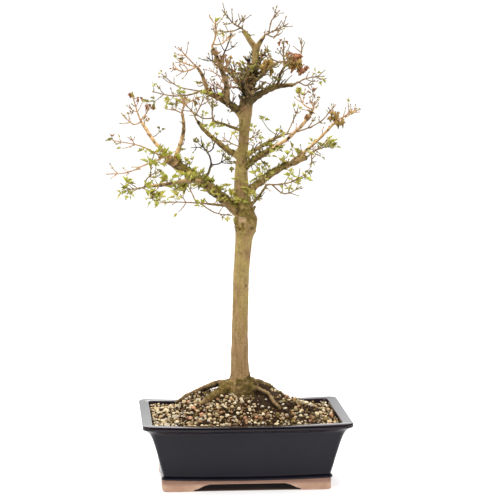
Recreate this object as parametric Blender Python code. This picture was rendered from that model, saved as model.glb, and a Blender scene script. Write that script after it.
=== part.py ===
"""A potted trident maple bonsai in early spring, with its glazed pot, foot ring and gravel mound.

Sizes are in millimetres where a name or a table says mm, and everything is put into metres by MM.
The pot's centre is the centre of the plan, and the ground that the foot stands on is the height 0.
Azimuths are degrees from +X towards +Y, and rises are degrees above level.
"""

import math
import random
from typing import NamedTuple

import bmesh
import bpy
from mathutils import Matrix, Vector
from mathutils.kdtree import KDTree

MM = 0.001
GAP = 0.3 * MM
WELD = 0.01 * MM

# Pot: half sizes at the rim, and how far each outline stands in from the rim at each height, in mm
RIM_HALF_WIDTH = 150.0
RIM_HALF_DEPTH = 110.0
RIM_CORNER = 13.0
CORNER_TIGHTENING = 0.25
RIM_BOW = 1.5
RIM_LIFT = 3.0
RIM_LIFT_FROM = 80.0
RIM_LIFT_POWER = 3
BOW_PLACES = (0.5, 0, -0.5)
SIDE_PLACES = ()
CORNER_STEPS = 4
POT_EDGE_ANGLE = 40.0
POT_OUTSIDE = (
    (28.0, 17.3), (27.8, 22.0), (29.6, 24.0), (27.2, 33.0), (22.6, 51.0), (18.3, 67.0),
    (13.6, 81.0), (9.8, 87.5), (3.0, 91.8), (0.4, 93.6), (0.0, 96.0), (1.2, 98.4),
)
POT_INSIDE = ((14.6, 98.4), (16.6, 90.0), (33.0, 32.0), (38.0, 27.0))

# Foot ring: half sizes, wall and the cut-outs between its four feet, in mm
FOOT_HALF_WIDTH = 121.0
FOOT_HALF_DEPTH = 81.0
FOOT_CORNER = 9.0
FOOT_HEIGHT = 17.0
FOOT_WALL = 14.0
FOOT_EASE = 1.2
FOOT_EDGE_ANGLE = 35.0
CUTOUT_FRONT = 78.0
CUTOUT_SIDE = 46.0
CUTOUT_PAST = 10.0
CUTOUT_STEPS = ((0.0, -1.0), (2.0, 2.6), (8.0, 4.4), (16.0, 8.4), (24.0, 10.5))

# Soil: the level at the wall, and a mound with a level top that the trunk stands on, in mm
SOIL_EDGE = 95.2
SOIL_FLOOR = 27.3
SOIL_CLEAR = 0.6
SOIL_RAISE = 0.3
MOUND_RISE = 40.0
MOUND_HALF_WIDTH = 150.0
MOUND_HALF_DEPTH = 115.0
MOUND_TOP = 128.0
SOIL_RINGS = 8
SOIL_LONG_PLACES = tuple(1 - step / 8 for step in range(1, 16))
SOIL_SHORT_PLACES = tuple(1 - step / 6 for step in range(1, 12))

# Heaps in the gravel: their height, how they fade out at the pot's wall, and three crossing waves, each
# with its turns in radians for a millimetre along X and Y, and where it starts
HEAP_RISE = 3.6
HEAP_HALF_WIDTH = 134.3
HEAP_HALF_DEPTH = 94.3
HEAP_FADE = 0.15
HEAP_WAVES = ((0.152, 0.024, 0.4), (-0.062, 0.135, 1.9), (0.088, -0.112, 4.2))

# Trunk: height, sideways and depth offset of the centre, and diameter, in mm
TRUNK = (
    (120, -4.5, 0, 54), (134, -4.5, 0, 47), (143, -4.5, 0, 39), (152, -4.5, 0, 30), (176, -5, 1, 26),
    (235, -4.3, 2, 23.6), (308, -2, 2, 23.4), (352, 1.1, 1, 24.4), (368, 3.6, 0, 31), (380, 4.2, 0, 33),
    (394, 1.8, 0, 27), (425, -1.8, 0, 22.4), (455, -2.6, -1, 18), (484, 0, -1, 14.4), (512, 2, 0, 15.6),
    (534, 3.4, 0, 19.6), (552, 5, 0, 20), (570, 9, 0, 15.6), (600, 16.4, 0, 11.4), (626, 17.6, 0, 9.6),
    (640, 9.6, 0, 7.8), (654, 0.2, 0, 6.2),
)
TRUNK_ROUNDNESS = 4
BOUGH_ROUNDNESS = 1
BOUGH_STEPS = 6
BOUGH_KINK = 4.0
WOOD_EDGE_ANGLE = 50.0

# Surface roots: azimuth, length, the diameters at the trunk and at the tip, and the rise of the arch, in mm
ROOTS = (
    (167, 90, 13, 5, 9), (-151, 62, 16, 6, 5), (-43, 76, 11, 5, 4), (10, 74, 16, 6, 2.5),
    (96, 62, 16, 7, 0),
)
ROOT_STEPS = 5
ROOT_STAND = 0.38
ROOT_DIVE = 0.25
ROOT_START = 6.0
ROOT_ROOF = 142.0
ROOT_ARCH_SKEW = 0.7

# Twigs: counts and angles of the growth rule, and sizes in mm
STEM_STEPS = 3
ARM_STEPS = 2
STEM_LEAD = 3.0
STEM_KINK = 7.0
STEM_THICK = 3.4
STEM_TIP = 1.6
ARM_THICK = 2.6
TWIG_THICK = 2.0
TWIG_TIP = 1.2
TWIG_ROOT = 2.6
TWIG_LENGTH = 23.0
STEM_NODES = (0.45, 0.82)
ARM_NODES = (0.62,)
TWIG_SPREAD = (34.0, 58.0)
TWIG_UPTURN = 0.15
TWIG_STRAY = 0.4
TWIG_SIZES = (0.65, 1.15)
TWIG_SHORTENING = 0.4
SPACE_REACH = 32.0
SPACE_GAP = 1.6
LIMB_CLEAR = 1.8
SITE_STEP = 3.0
SHARED_STRETCH = 6.8

# Leaves: sizes in mm, larger than life because each stands for a spray of young leaves
LEAF_LENGTH = 14.0
LEAF_WIDTH = 8.5
LEAF_THICK = 1.3
LEAF_SINK = 1.6
LEAF_STAGGER = 1.2
LEAF_SPREAD = (30.0, 65.0)
LEAF_SIZES = (0.75, 1.15)
LEAF_LEAN = 0.3
TWIG_LEAF_CHANCE = 0.6

SEED = 47
MASS_SEEDS = 4700
PLAN_OFFSET = Vector((12, 3, 0)) * MM

BARK = ("bark", (0.36, 0.26, 0.13), 0.85)
TWIG_BARK = ("twig_bark", (0.33, 0.23, 0.15), 0.8)
LEAF = ("young_leaf", (0.30, 0.30, 0.06), 0.6)
GLAZE = ("dark_glaze", (0.022, 0.022, 0.035), 0.16)
CLAY = ("bare_clay", (0.53, 0.32, 0.22), 0.85)
GRAVEL = ("gravel", (0.42, 0.37, 0.27), 0.95)


class Limb(NamedTuple):
    """A bough: what carries it, how far along that, its heading, and its length and diameters in mm."""

    name: str
    carrier: str
    at: float
    azimuth: float
    turn: float
    rise: float
    lift: float
    length: float
    base: float
    tip: float


class Shoot(NamedTuple):
    """A stem or an arm of a mass of twigs: its place along the stem as a share, heading and length in mm."""

    at: float
    azimuth: float
    turn: float
    rise: float
    lift: float
    length: float


class Tube(NamedTuple):
    """The centre line of a limb or twig and its radii, in metres."""

    points: list
    radii: list


BOUGHS = (
    Limb("low_left", "trunk", 261, -165, 16, 46, -17, 156, 15.0, 12.4),
    Limb("low_left_rise", "low_left", 143, 71, -70, 42, 59, 77, 7.2, 4.4),
    Limb("low_left_far", "low_left", 144, 174, -48, 47, -1, 76, 6.4, 4.2),
    Limb("low_left_front", "low_left", 90, -90, -90, 11, -21, 126, 6.4, 4.4),
    Limb("low_left_dark", "low_left", 88, 55, 22, 40, -15, 41, 4.6, 3.2),
    Limb("low_left_back", "trunk", 277, 127, 2, 8, -8, 76, 5.4, 3.4),
    Limb("low_right", "trunk", 294, 20, -5, 40, -24, 117, 11.4, 8.2),
    Limb("low_right_far", "low_right", 86, 21, 1, 34, 6, 98, 5.6, 3.6),
    Limb("low_right_front", "trunk", 273, -55, -12, 30, 10, 70, 5.0, 3.4),
    Limb("mid_left", "trunk", 352, 155, -9, 22, 27, 89, 9.6, 4.6),
    Limb("mid_left_front", "trunk", 390, -134, 1, 16, -2, 71, 5.0, 3.2),
    Limb("mid_right", "trunk", 334, -45, 5, 37, -16, 68, 10.0, 7.0),
    Limb("mid_right_tan", "mid_right", 62, -25, -14, 29, 26, 86, 5.6, 5.0),
    Limb("mid_right_back", "trunk", 351, 41, -4, 24, -8, 84, 7.0, 4.0),
    Limb("high_left", "trunk", 410, -153, -1, 42, -24, 79, 12.0, 6.8),
    Limb("high_left_rise", "high_left", 73, -137, 9, 80, -45, 43, 6.0, 4.2),
    Limb("high_left_tan", "high_left", 40, -78, -90, 52, 15, 90, 9.6, 4.8),
    Limb("high_left_back", "trunk", 441, 129, 6, 42, -7, 69, 7.0, 4.0),
    Limb("high_right", "trunk", 430, 30, -7, 36, -34, 85, 11.6, 5.8),
    Limb("high_right_rise", "high_right", 60, -89, 21, 47, -9, 42, 5.0, 3.4),
    Limb("high_right_front", "trunk", 454, -58, 2, 33, -5, 70, 6.0, 3.6),
    Limb("crown_right", "trunk", 507, -41, 4, 55, -4, 26, 7.0, 4.6),
    Limb("low_back", "trunk", 318, 84, 14, 30, -8, 84, 8.0, 4.6),
    Limb("high_back", "trunk", 422, 88, -12, 30, 6, 66, 6.8, 4.0),
)

# Masses of twigs by the limb that each grows on from: the stem first, then the arms that leave it
MASSES = {
    "low_left": (Shoot(0, 138, 90, -28, 24, 96), Shoot(0.06, -133, -32, 38, -38, 85)),
    "low_left_rise": (
        Shoot(0, 52, 13, 57, 28, 20),
        Shoot(0.05, -152, 1, 15, 14, 20),
        Shoot(0.35, 47, -19, 53, -49, 24),
    ),
    "low_left_far": (
        Shoot(0, -156, 1, 69, 7, 36),
        Shoot(0.05, -102, -90, -30, 88, 37),
        Shoot(0.12, 52, -8, 23, 41, 26),
    ),
    "low_left_front": (
        Shoot(0, -176, 7, -16, 21, 26),
        Shoot(0.12, -100, 90, 62, -39, 36),
        Shoot(0.25, -48, 4, -20, -12, 27),
    ),
    "low_left_dark": (
        Shoot(0, -114, -53, 82, -54, 39),
        Shoot(0.04, 46, -29, -24, 81, 35),
        Shoot(0.55, -4, 73, 1, 90, 18),
    ),
    "low_left_back": (
        Shoot(0, 152, 0, -2, 4, 75),
        Shoot(0.16, 30, -19, -50, 50, 56),
        Shoot(0.24, 113, 0, 40, 0, 43),
    ),
    "low_right": (Shoot(0, 62, 1, 10, 3, 52), Shoot(0.3, 83, 0, -39, 0, 28), Shoot(0.4, -10, 0, 20, 0, 30)),
    "low_right_far": (
        Shoot(0, 7, 1, 31, 11, 30),
        Shoot(0.25, 122, 0, 29, 0, 24),
        Shoot(0.4, -40, 0, 30, 0, 30),
    ),
    "low_right_front": (Shoot(0, -30, -11, 0, 31, 65), Shoot(0.16, -35, 24, -60, 120, 48)),
    "mid_left": (Shoot(0, 135, 13, 53, -15, 37), Shoot(0.2, 46, 16, 36, 12, 33)),
    "mid_left_front": (Shoot(0, -99, 8, 62, 0, 34), Shoot(0.2, -139, 14, -5, 41, 38)),
    "mid_right_tan": (Shoot(0, -81, -11, 51, 4, 12), Shoot(0.2, 126, 12, 7, 60, 36)),
    "mid_right_back": (Shoot(0, 17, 7, 14, 27, 99), Shoot(0.1, 56, 5, 35, 4, 51)),
    "high_left": (Shoot(0, -115, -90, -11, 25, 82), Shoot(0.08, -168, -54, 6, 38, 64)),
    "high_left_rise": (
        Shoot(0, -141, -39, -28, 53, 39),
        Shoot(0.1, 144, -2, 2, 27, 29),
        Shoot(0.06, -133, -5, 25, 16, 48),
    ),
    "high_left_tan": (Shoot(0, 28, 90, 52, 41, 39), Shoot(0.12, 29, 22, -25, 86, 35)),
    "high_left_back": (Shoot(0, 27, 4, 59, 14, 47), Shoot(0.12, -140, -12, -24, 72, 24)),
    "high_right": (Shoot(0, 32, -4, 23, -26, 52), Shoot(0.2, 36, -4, -33, 50, 28)),
    "high_right_rise": (Shoot(0, -138, 55, 78, 4, 33), Shoot(0.2, -9, 120, -6, 96, 52)),
    "high_right_front": (Shoot(0, -59, 3, 18, -18, 32), Shoot(0.2, -133, 20, 17, 22, 41)),
    "crown_right": (
        Shoot(0, -24, 0, 30, -1, 35),
        Shoot(0.22, 61, -40, 85, -43, 37),
        Shoot(0.14, 64, -8, -10, 23, 48),
    ),
    "trunk": (
        Shoot(0, -138, 7, 22, 24, 50),
        Shoot(0.1, 126, 22, -17, 28, 37),
        Shoot(0.22, -30, -7, 38, 23, 13),
    ),
    "low_back": (
        Shoot(0, 60, 30, 20, 20, 44),
        Shoot(0.3, 130, 0, 10, 20, 40),
        Shoot(0.5, 20, 0, 30, 0, 30),
    ),
    "high_back": (
        Shoot(0, 80, 20, 30, 10, 44),
        Shoot(0.3, 140, 0, 20, 20, 36),
        Shoot(0.5, 30, 0, 30, 10, 34),
    ),
}


def clear_scene():
    """Empties the scene before the bonsai is made."""
    for obj in list(bpy.data.objects):
        bpy.data.objects.remove(obj, do_unlink=True)


def new_collection(name, parent=None):
    """A collection under the scene, or under another collection."""
    collection = bpy.data.collections.new(name)
    (parent or bpy.context.scene.collection).children.link(collection)
    return collection


def material(spec):
    """The finish with this name, made once."""
    name, colour, roughness = spec
    made = bpy.data.materials.get(name)
    if made is None:
        made = bpy.data.materials.new(name)
        made.use_nodes = True
        shader = made.node_tree.nodes["Principled BSDF"]
        shader.inputs["Base Color"].default_value = (*colour, 1)
        shader.inputs["Roughness"].default_value = roughness
        shader.inputs["Metallic"].default_value = 0
    return made


def object_of(name, mesh, collection, spec):
    """An object that shows the mesh in its finish."""
    obj = bpy.data.objects.new(name, mesh)
    mesh.materials.clear()
    mesh.materials.append(material(spec))
    collection.objects.link(obj)
    return obj


def mesh_of(name, bm):
    """A mesh from the bmesh, which is freed."""
    mesh = bpy.data.meshes.new(name)
    bm.to_mesh(mesh)
    bm.free()
    return mesh


def smooth(obj, angle):
    """Shades the piece smooth, with edges over the angle kept sharp."""
    obj.data.shade_smooth()
    obj.data.set_sharp_from_angle(angle=math.radians(angle))


def as_cutter(obj):
    """Marks the object as a tool that shows only as wire."""
    obj.hide_render = True
    obj.display_type = "WIRE"


def replace_mesh(obj, mesh):
    """Gives the object a new mesh, and removes the one it had."""
    old = obj.data
    obj.data = mesh
    bpy.data.meshes.remove(old)


def apply_modifiers(obj):
    """Bakes the object's modifiers into its mesh."""
    graph = bpy.context.evaluated_depsgraph_get()
    mesh = bpy.data.meshes.new_from_object(obj.evaluated_get(graph))
    obj.modifiers.clear()
    replace_mesh(obj, mesh)


def cut(obj, cutter):
    """Takes the cutter's shape out of the object."""
    modifier = obj.modifiers.new("cut", "BOOLEAN")
    modifier.operation = "DIFFERENCE"
    modifier.object = cutter
    apply_modifiers(obj)


def fuse(obj, others):
    """Joins the other objects to this one by one Boolean on their collection, and removes them."""
    collection = new_collection(obj.name + "_parts")
    for other in others:
        for owner in list(other.users_collection):
            owner.objects.unlink(other)
        collection.objects.link(other)
    modifier = obj.modifiers.new("fuse", "BOOLEAN")
    modifier.operation = "UNION"
    modifier.operand_type = "COLLECTION"
    modifier.collection = collection
    modifier.material_mode = "TRANSFER"
    apply_modifiers(obj)
    for other in others:
        bpy.data.objects.remove(other, do_unlink=True)
    bpy.data.collections.remove(collection)
    keep_main_body(obj)


def keep_main_body(obj):
    """Drops loose scraps and the walls of sealed hollows, which leaves the largest body filled."""
    bm = bmesh.new()
    bm.from_mesh(obj.data)
    waiting = set(bm.verts)
    bodies = []
    while waiting:
        body = set()
        edge_of_body = [waiting.pop()]
        while edge_of_body:
            vert = edge_of_body.pop()
            body.add(vert)
            for edge in vert.link_edges:
                other = edge.other_vert(vert)
                if other in waiting:
                    waiting.remove(other)
                    edge_of_body.append(other)
        bodies.append(body)
    bodies.sort(key=len)
    scraps = [vert for body in bodies[:-1] for vert in body]
    bmesh.ops.delete(bm, geom=scraps, context="VERTS")
    bm.to_mesh(obj.data)
    bm.free()


def loft(name, rings, closed):
    """A skin over rings of equal counts: a closed loop of rings, or an open one with both ends capped."""
    bm = bmesh.new()
    rows = [[bm.verts.new(point) for point in ring] for ring in rings]
    count = len(rings[0])
    pairs = list(zip(rows, rows[1:]))
    if closed:
        pairs.append((rows[-1], rows[0]))
    for lower, upper in pairs:
        for i in range(count):
            j = (i + 1) % count
            bm.faces.new((lower[i], lower[j], upper[j], upper[i]))
    if not closed:
        bm.faces.new(rows[0])
        bm.faces.new(rows[-1])
    bmesh.ops.recalc_face_normals(bm, faces=bm.faces)
    return mesh_of(name, bm)


def rounded_rectangle(half_width, half_depth, corner, bow, height, places=(BOW_PLACES, SIDE_PLACES)):
    """A level ring in metres: round corners, and points at these shares along its long and short sides,
    with the long sides bowed out a little at their middles."""
    ring = []
    for turn, (sx, sy) in enumerate(((1, 1), (-1, 1), (-1, -1), (1, -1))):
        centre_x = sx * (half_width - corner)
        centre_y = sy * (half_depth - corner)
        for step in range(CORNER_STEPS + 1):
            angle = math.radians(90 * (turn + step / CORNER_STEPS))
            ring.append((centre_x + corner * math.cos(angle), centre_y + corner * math.sin(angle), height))
        for share in places[turn % 2]:
            if turn % 2 == 0:
                across = share * (half_width - corner) * sx
                ring.append((across, sy * (half_depth + bow * (1 - share * share)), height))
            else:
                ring.append((sx * half_width, share * (half_depth - corner) * sy, height))
    return [Vector(point) * MM for point in ring]


def pot_ring(inset, height, places=(BOW_PLACES, SIDE_PLACES)):
    """The pot's outline at a height, standing in from the rim by the inset, with the rim's corners raised."""
    bow = RIM_BOW * max(0.0, 1 - inset / POT_INSIDE[0][0])
    corner = RIM_CORNER - CORNER_TIGHTENING * inset
    ring = rounded_rectangle(RIM_HALF_WIDTH - inset, RIM_HALF_DEPTH - inset, corner, bow, height, places)
    lift = RIM_LIFT * max(0.0, height - RIM_LIFT_FROM) / (POT_OUTSIDE[-1][1] - RIM_LIFT_FROM)
    for point in ring:
        out = abs(point.x * point.y) / (RIM_HALF_WIDTH * RIM_HALF_DEPTH * MM * MM)
        point.z += lift * out**RIM_LIFT_POWER * MM
    return ring


def make_pot(parts):
    """The glazed pot: one shell from its floor, out over the rim and down to the inside floor."""
    rings = [pot_ring(inset, height) for inset, height in POT_OUTSIDE + POT_INSIDE]
    pot = object_of("pot_body", loft("pot_body", rings, closed=False), parts, GLAZE)
    smooth(pot, POT_EDGE_ANGLE)
    return pot


def cutout_tool(name, half_length, reach, turned, tools):
    """The space between two feet, run through the ring from face to face."""
    outline = [(half_length - along, height) for along, height in CUTOUT_STEPS]
    outline += [(-across, height) for across, height in reversed(outline)]
    rings = []
    for side in (-reach, reach):
        rings.append([Vector((across, side, height)) * MM for across, height in outline])
    cutter = object_of(name, loft(name, rings, closed=False), tools, CLAY)
    if turned:
        cutter.rotation_euler.z = math.radians(90)
    as_cutter(cutter)
    return cutter


def make_foot(parts, tools):
    """The bare clay ring under the pot, cut away between its four feet."""
    inner_width = FOOT_HALF_WIDTH - FOOT_WALL
    inner_depth = FOOT_HALF_DEPTH - FOOT_WALL
    rings = [
        rounded_rectangle(FOOT_HALF_WIDTH - FOOT_EASE, FOOT_HALF_DEPTH - FOOT_EASE, FOOT_CORNER, 0, 0),
        rounded_rectangle(FOOT_HALF_WIDTH, FOOT_HALF_DEPTH, FOOT_CORNER, 0, FOOT_EASE),
        rounded_rectangle(FOOT_HALF_WIDTH, FOOT_HALF_DEPTH, FOOT_CORNER, 0, FOOT_HEIGHT),
        rounded_rectangle(inner_width, inner_depth, FOOT_CORNER, 0, FOOT_HEIGHT),
        rounded_rectangle(inner_width, inner_depth, FOOT_CORNER, 0, 0),
    ]
    foot = object_of("pot_foot", loft("pot_foot", rings, closed=True), parts, CLAY)
    for name, half_length, reach, turned in (
        ("front_cutout", CUTOUT_FRONT, FOOT_HALF_DEPTH + CUTOUT_PAST, False),
        ("side_cutout", CUTOUT_SIDE, FOOT_HALF_WIDTH + CUTOUT_PAST, True),
    ):
        cutter = cutout_tool(name, half_length, reach, turned, tools)
        bpy.context.view_layer.update()
        cut(foot, cutter)
    smooth(foot, FOOT_EDGE_ANGLE)
    return foot


def split_faces(obj):
    """Splits every face into triangles, so that a tool made from the piece has the same facets."""
    bm = bmesh.new()
    bm.from_mesh(obj.data)
    bmesh.ops.triangulate(bm, faces=bm.faces)
    bm.to_mesh(obj.data)
    bm.free()


def heap_height(x, y):
    """How far the gravel is heaped up or hollowed at a place in the plan, in mm."""
    out = max(abs(x) / HEAP_HALF_WIDTH, abs(y) / HEAP_HALF_DEPTH)
    fade = min(1.0, max(0.0, 1 - out) / HEAP_FADE)
    waves = [math.sin(along * x + across * y + start) for along, across, start in HEAP_WAVES]
    return HEAP_RISE * fade * sum(waves) / len(waves)


def soil_height(x, y):
    """Height of the gravel at a place in the plan, in mm."""
    away = (x / MOUND_HALF_WIDTH) ** 2 + (y / MOUND_HALF_DEPTH) ** 2
    bell = max(0.0, 1 - away) ** 2
    return min(SOIL_EDGE + MOUND_RISE * bell + heap_height(x, y), MOUND_TOP)


def inset_at(height):
    """How far the pot's inside stands in from the rim at a height, in mm."""
    for (inset_a, height_a), (inset_b, height_b) in zip(POT_INSIDE, POT_INSIDE[1:]):
        if height_b <= height <= height_a:
            return inset_a + (inset_b - inset_a) * (height_a - height) / (height_a - height_b)
    return POT_INSIDE[-1][0]


def make_soil(parts):
    """The gravel that fills the pot, from its floor up to the mound under the trunk."""
    levels = (SOIL_FLOOR, POT_INSIDE[2][1] + SOIL_RAISE, POT_INSIDE[1][1], SOIL_EDGE)
    places = (SOIL_LONG_PLACES, SOIL_SHORT_PLACES)
    rings = [pot_ring(inset_at(level) + SOIL_CLEAR, level, places) for level in levels]
    edge = rings[-1]
    for step in range(1, SOIL_RINGS):
        share = 1 - step / SOIL_RINGS
        ring = []
        for point in edge:
            x = point.x / MM * share
            y = point.y / MM * share
            ring.append(Vector((x, y, soil_height(x, y))) * MM)
        rings.append(ring)
    soil = object_of("soil", loft("soil", rings, closed=False), parts, GRAVEL)
    split_faces(soil)
    smooth(soil, POT_EDGE_ANGLE)
    return soil


def tube_object(name, tube, roundness, collection, spec, section=None):
    """A limb as a bevelled curve with filled caps, made a mesh so that it can be cut and fused."""
    curve = bpy.data.curves.new(name, "CURVE")
    curve.dimensions = "3D"
    curve.use_fill_caps = True
    if section:
        curve.bevel_mode = "OBJECT"
        curve.bevel_object = section
    else:
        curve.bevel_depth = 1.0
        curve.bevel_resolution = roundness
    spline = curve.splines.new("POLY")
    spline.points.add(len(tube.points) - 1)
    for control, point, radius in zip(spline.points, tube.points, tube.radii):
        control.co = (*point, 1)
        control.radius = radius
    guide = bpy.data.objects.new(name + "_line", curve)
    collection.objects.link(guide)
    graph = bpy.context.evaluated_depsgraph_get()
    mesh = bpy.data.meshes.new_from_object(guide.evaluated_get(graph))
    bpy.data.objects.remove(guide, do_unlink=True)
    bpy.data.curves.remove(curve)
    bm = bmesh.new()
    bm.from_mesh(mesh)
    bmesh.ops.remove_doubles(bm, verts=bm.verts, dist=WELD)
    bmesh.ops.recalc_face_normals(bm, faces=bm.faces)
    bm.to_mesh(mesh)
    bm.free()
    return object_of(name, mesh, collection, spec)


def grown(tube, extra):
    """The same tube with its radii larger by the extra."""
    return Tube(tube.points, [radius + extra for radius in tube.radii])


def heading(azimuth, rise):
    """The direction with this azimuth and rise, in degrees."""
    level = math.cos(math.radians(rise))
    flat = math.radians(azimuth)
    return Vector((level * math.cos(flat), level * math.sin(flat), math.sin(math.radians(rise))))


def walk(start, shoot, steps, kink, rng):
    """Points of a limb that turns and lifts evenly on its way, with small kinks at its nodes."""
    points = [start]
    for step in range(steps):
        share = (step + 0.5) / steps
        azimuth = shoot.azimuth + shoot.turn * share + rng.uniform(-kink, kink)
        rise = shoot.rise + shoot.lift * share + rng.uniform(-kink, kink)
        points.append(points[-1] + heading(azimuth, rise) * (shoot.length * MM / steps))
    return points


def taper(first, last, count):
    """Radii in metres that fall evenly from one diameter in mm to another."""
    return [(first + (last - first) * i / (count - 1)) / 2 * MM for i in range(count)]


def place_on(points, distance):
    """The point and the direction at a distance along the points."""
    left = distance
    for a, b in zip(points, points[1:]):
        span = (b - a).length
        if left <= span:
            return a + (b - a) * (left / span), (b - a).normalized()
        left -= span
    return points[-1], (points[-1] - points[-2]).normalized()


def length_of(points):
    """The length of the way through the points."""
    return sum((b - a).length for a, b in zip(points, points[1:]))


def trunk_tube():
    """The trunk's centre line and radii, from its cut at the soil to the tip of its leader."""
    points = [Vector((x, y, z)) * MM for z, x, y, _ in TRUNK]
    return Tube(points, [diameter / 2 * MM for *_, diameter in TRUNK])


def limb_tubes():
    """The centre line and radii of the trunk and of each bough, by name."""
    tubes = {"trunk": trunk_tube()}
    for number, bough in enumerate(BOUGHS):
        rng = random.Random(SEED + number)
        start, _ = place_on(tubes[bough.carrier].points, bough.at * MM)
        points = walk(start, bough, BOUGH_STEPS, BOUGH_KINK, rng)
        tubes[bough.name] = Tube(points, taper(bough.base, bough.tip, len(points)))
    return tubes


def root_tube(azimuth, length, base, tip, arch):
    """A surface root that runs down the mound, sunk a little in it, and arched clear of it at its middle."""
    points = []
    radii = taper(base, tip, ROOT_STEPS + 1)
    foot = Vector((TRUNK[0][1], TRUNK[0][2], 0))
    for step, radius in enumerate(radii):
        share = step / ROOT_STEPS
        place = foot + heading(azimuth, 0) * (ROOT_START + (length - ROOT_START) * share)
        stand = ROOT_STAND - ROOT_DIVE * share
        rise = 2 * stand * radius / MM + arch * math.sin(math.pi * share**ROOT_ARCH_SKEW)
        place.z = min(soil_height(place.x, place.y) + rise, ROOT_ROOF)
        points.append(place * MM)
    return Tube(points, radii)


def make_trunk(tubes, parts, tools, soil):
    """The trunk with its flare and surface roots, cut off level and clear of the soil."""
    trunk = tube_object("trunk", tubes["trunk"], TRUNK_ROUNDNESS, parts, BARK)
    roots = []
    for number, root in enumerate(ROOTS):
        roots.append(tube_object(f"root_{number}", root_tube(*root), BOUGH_ROUNDNESS, tools, BARK))
    fuse(trunk, roots)
    ground = object_of("ground_tool", soil.data.copy(), tools, GRAVEL)
    ground.location.z = GAP
    as_cutter(ground)
    bpy.context.view_layer.update()
    cut(trunk, ground)
    keep_main_body(trunk)
    smooth(trunk, WOOD_EDGE_ANGLE)
    return trunk


def make_bough(bough, tubes, parts, tools):
    """A bough whose foot is hollowed to lie clear round what carries it."""
    limb = tube_object(bough.name, tubes[bough.name], BOUGH_ROUNDNESS, parts, BARK)
    roundness = TRUNK_ROUNDNESS if bough.carrier == "trunk" else BOUGH_ROUNDNESS
    name = f"{bough.name}_seat"
    seat = tube_object(name, grown(tubes[bough.carrier], GAP), roundness, tools, BARK)
    as_cutter(seat)
    cut(limb, seat)
    keep_main_body(limb)
    smooth(limb, WOOD_EDGE_ANGLE)
    return limb


def spine_of(name, tubes):
    """The stem of the mass on this limb and its arms, as point lists, with the limb's own lead-in."""
    limb = tubes[name].points
    number = list(MASSES).index(name)
    rng = random.Random(MASS_SEEDS + number)
    ahead = (limb[-1] - limb[-2]).normalized()
    start = limb[-1] + ahead * GAP
    lead = start + ahead * (STEM_LEAD * MM)
    stem, *arms = MASSES[name]
    ways = [[start] + walk(lead, stem, STEM_STEPS, STEM_KINK, rng)]
    for arm in arms:
        foot, _ = place_on(ways[0], arm.at * length_of(ways[0]))
        ways.append(walk(foot, arm, ARM_STEPS, STEM_KINK, rng))
    return ways, rng


def spread_points(ways, step):
    """Points along the ways, no more than the step apart."""
    for points in ways:
        for a, b in zip(points, points[1:]):
            count = max(1, math.ceil((b - a).length / step))
            for i in range(count):
                yield a.lerp(b, i / count)
        yield points[-1]


def tree_of(points):
    """A search tree of the points."""
    points = list(points)
    tree = KDTree(len(points))
    for number, point in enumerate(points):
        tree.insert(point, number)
    tree.balance()
    return tree


class Spaces:
    """The share of the crown that each mass may fill: what lies nearer to its own stem and arms than to
    those of any other mass, within reach of them, and clear of every limb."""

    def __init__(self, spines, tubes):
        self.sites = {name: tree_of(spread_points(ways, SITE_STEP * MM)) for name, ways in spines.items()}
        self.limbs = []
        for tube in tubes.values():
            for a, b, r_a, r_b in zip(tube.points, tube.points[1:], tube.radii, tube.radii[1:]):
                self.limbs.append((a, b, r_a, r_b))

    def in_space(self, name, point):
        """Whether the point lies in this mass's share of the crown."""
        own = self.sites[name].find(point)[2]
        if own > SPACE_REACH * MM:
            return False
        for other, site in self.sites.items():
            if other != name and site.find(point)[2] < own + SPACE_GAP * MM:
                return False
        return True

    def clear_of_limbs(self, point, radius):
        """Whether a ball at the point lies clear of the trunk and the boughs."""
        for a, b, r_a, r_b in self.limbs:
            along = b - a
            share = min(1.0, max(0.0, (point - a).dot(along) / along.length_squared))
            limb_radius = r_a + (r_b - r_a) * share
            if (point - a - along * share).length < limb_radius + radius + LIMB_CLEAR * MM:
                return False
        return True

    def allows(self, name, points, radius, shared):
        """Whether every point along the way is allowed, past the first stretch, which may be shared."""
        covered = 0.0
        last = points[0]
        for point in spread_points([points], SITE_STEP * MM):
            covered += (point - last).length
            last = point
            if covered < shared:
                continue
            if not (self.in_space(name, point) and self.clear_of_limbs(point, radius)):
                return False
        return True


def side_twigs(points, nodes, rng):
    """Opposite pairs of twigs at the nodes of a stem, each pair turned a right angle from the last."""
    total = length_of(points)
    turned = rng.uniform(0, math.pi)
    twigs = []
    for number, share in enumerate(nodes):
        foot, along = place_on(points, share * total)
        across = along.orthogonal().normalized()
        angle = turned + number * math.pi / 2 + rng.uniform(-TWIG_STRAY, TWIG_STRAY)
        across = Matrix.Rotation(angle, 3, along) @ across
        for side in (1, -1):
            spread = math.radians(rng.uniform(*TWIG_SPREAD))
            way = along * math.cos(spread) + across * (side * math.sin(spread))
            length = TWIG_LENGTH * MM * rng.uniform(*TWIG_SIZES) * (1 - TWIG_SHORTENING * share)
            upward = (way + Vector((0, 0, TWIG_UPTURN))).normalized()
            twigs.append([foot, foot + upward * length])
    return twigs


def rooted(points, first, last):
    """A twig's tube, which starts as a point on the middle line of what it grows from."""
    neck, _ = place_on(points, TWIG_ROOT * MM)
    return Tube([points[0], neck] + points[1:], [0] + taper(first, last, len(points)))


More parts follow.
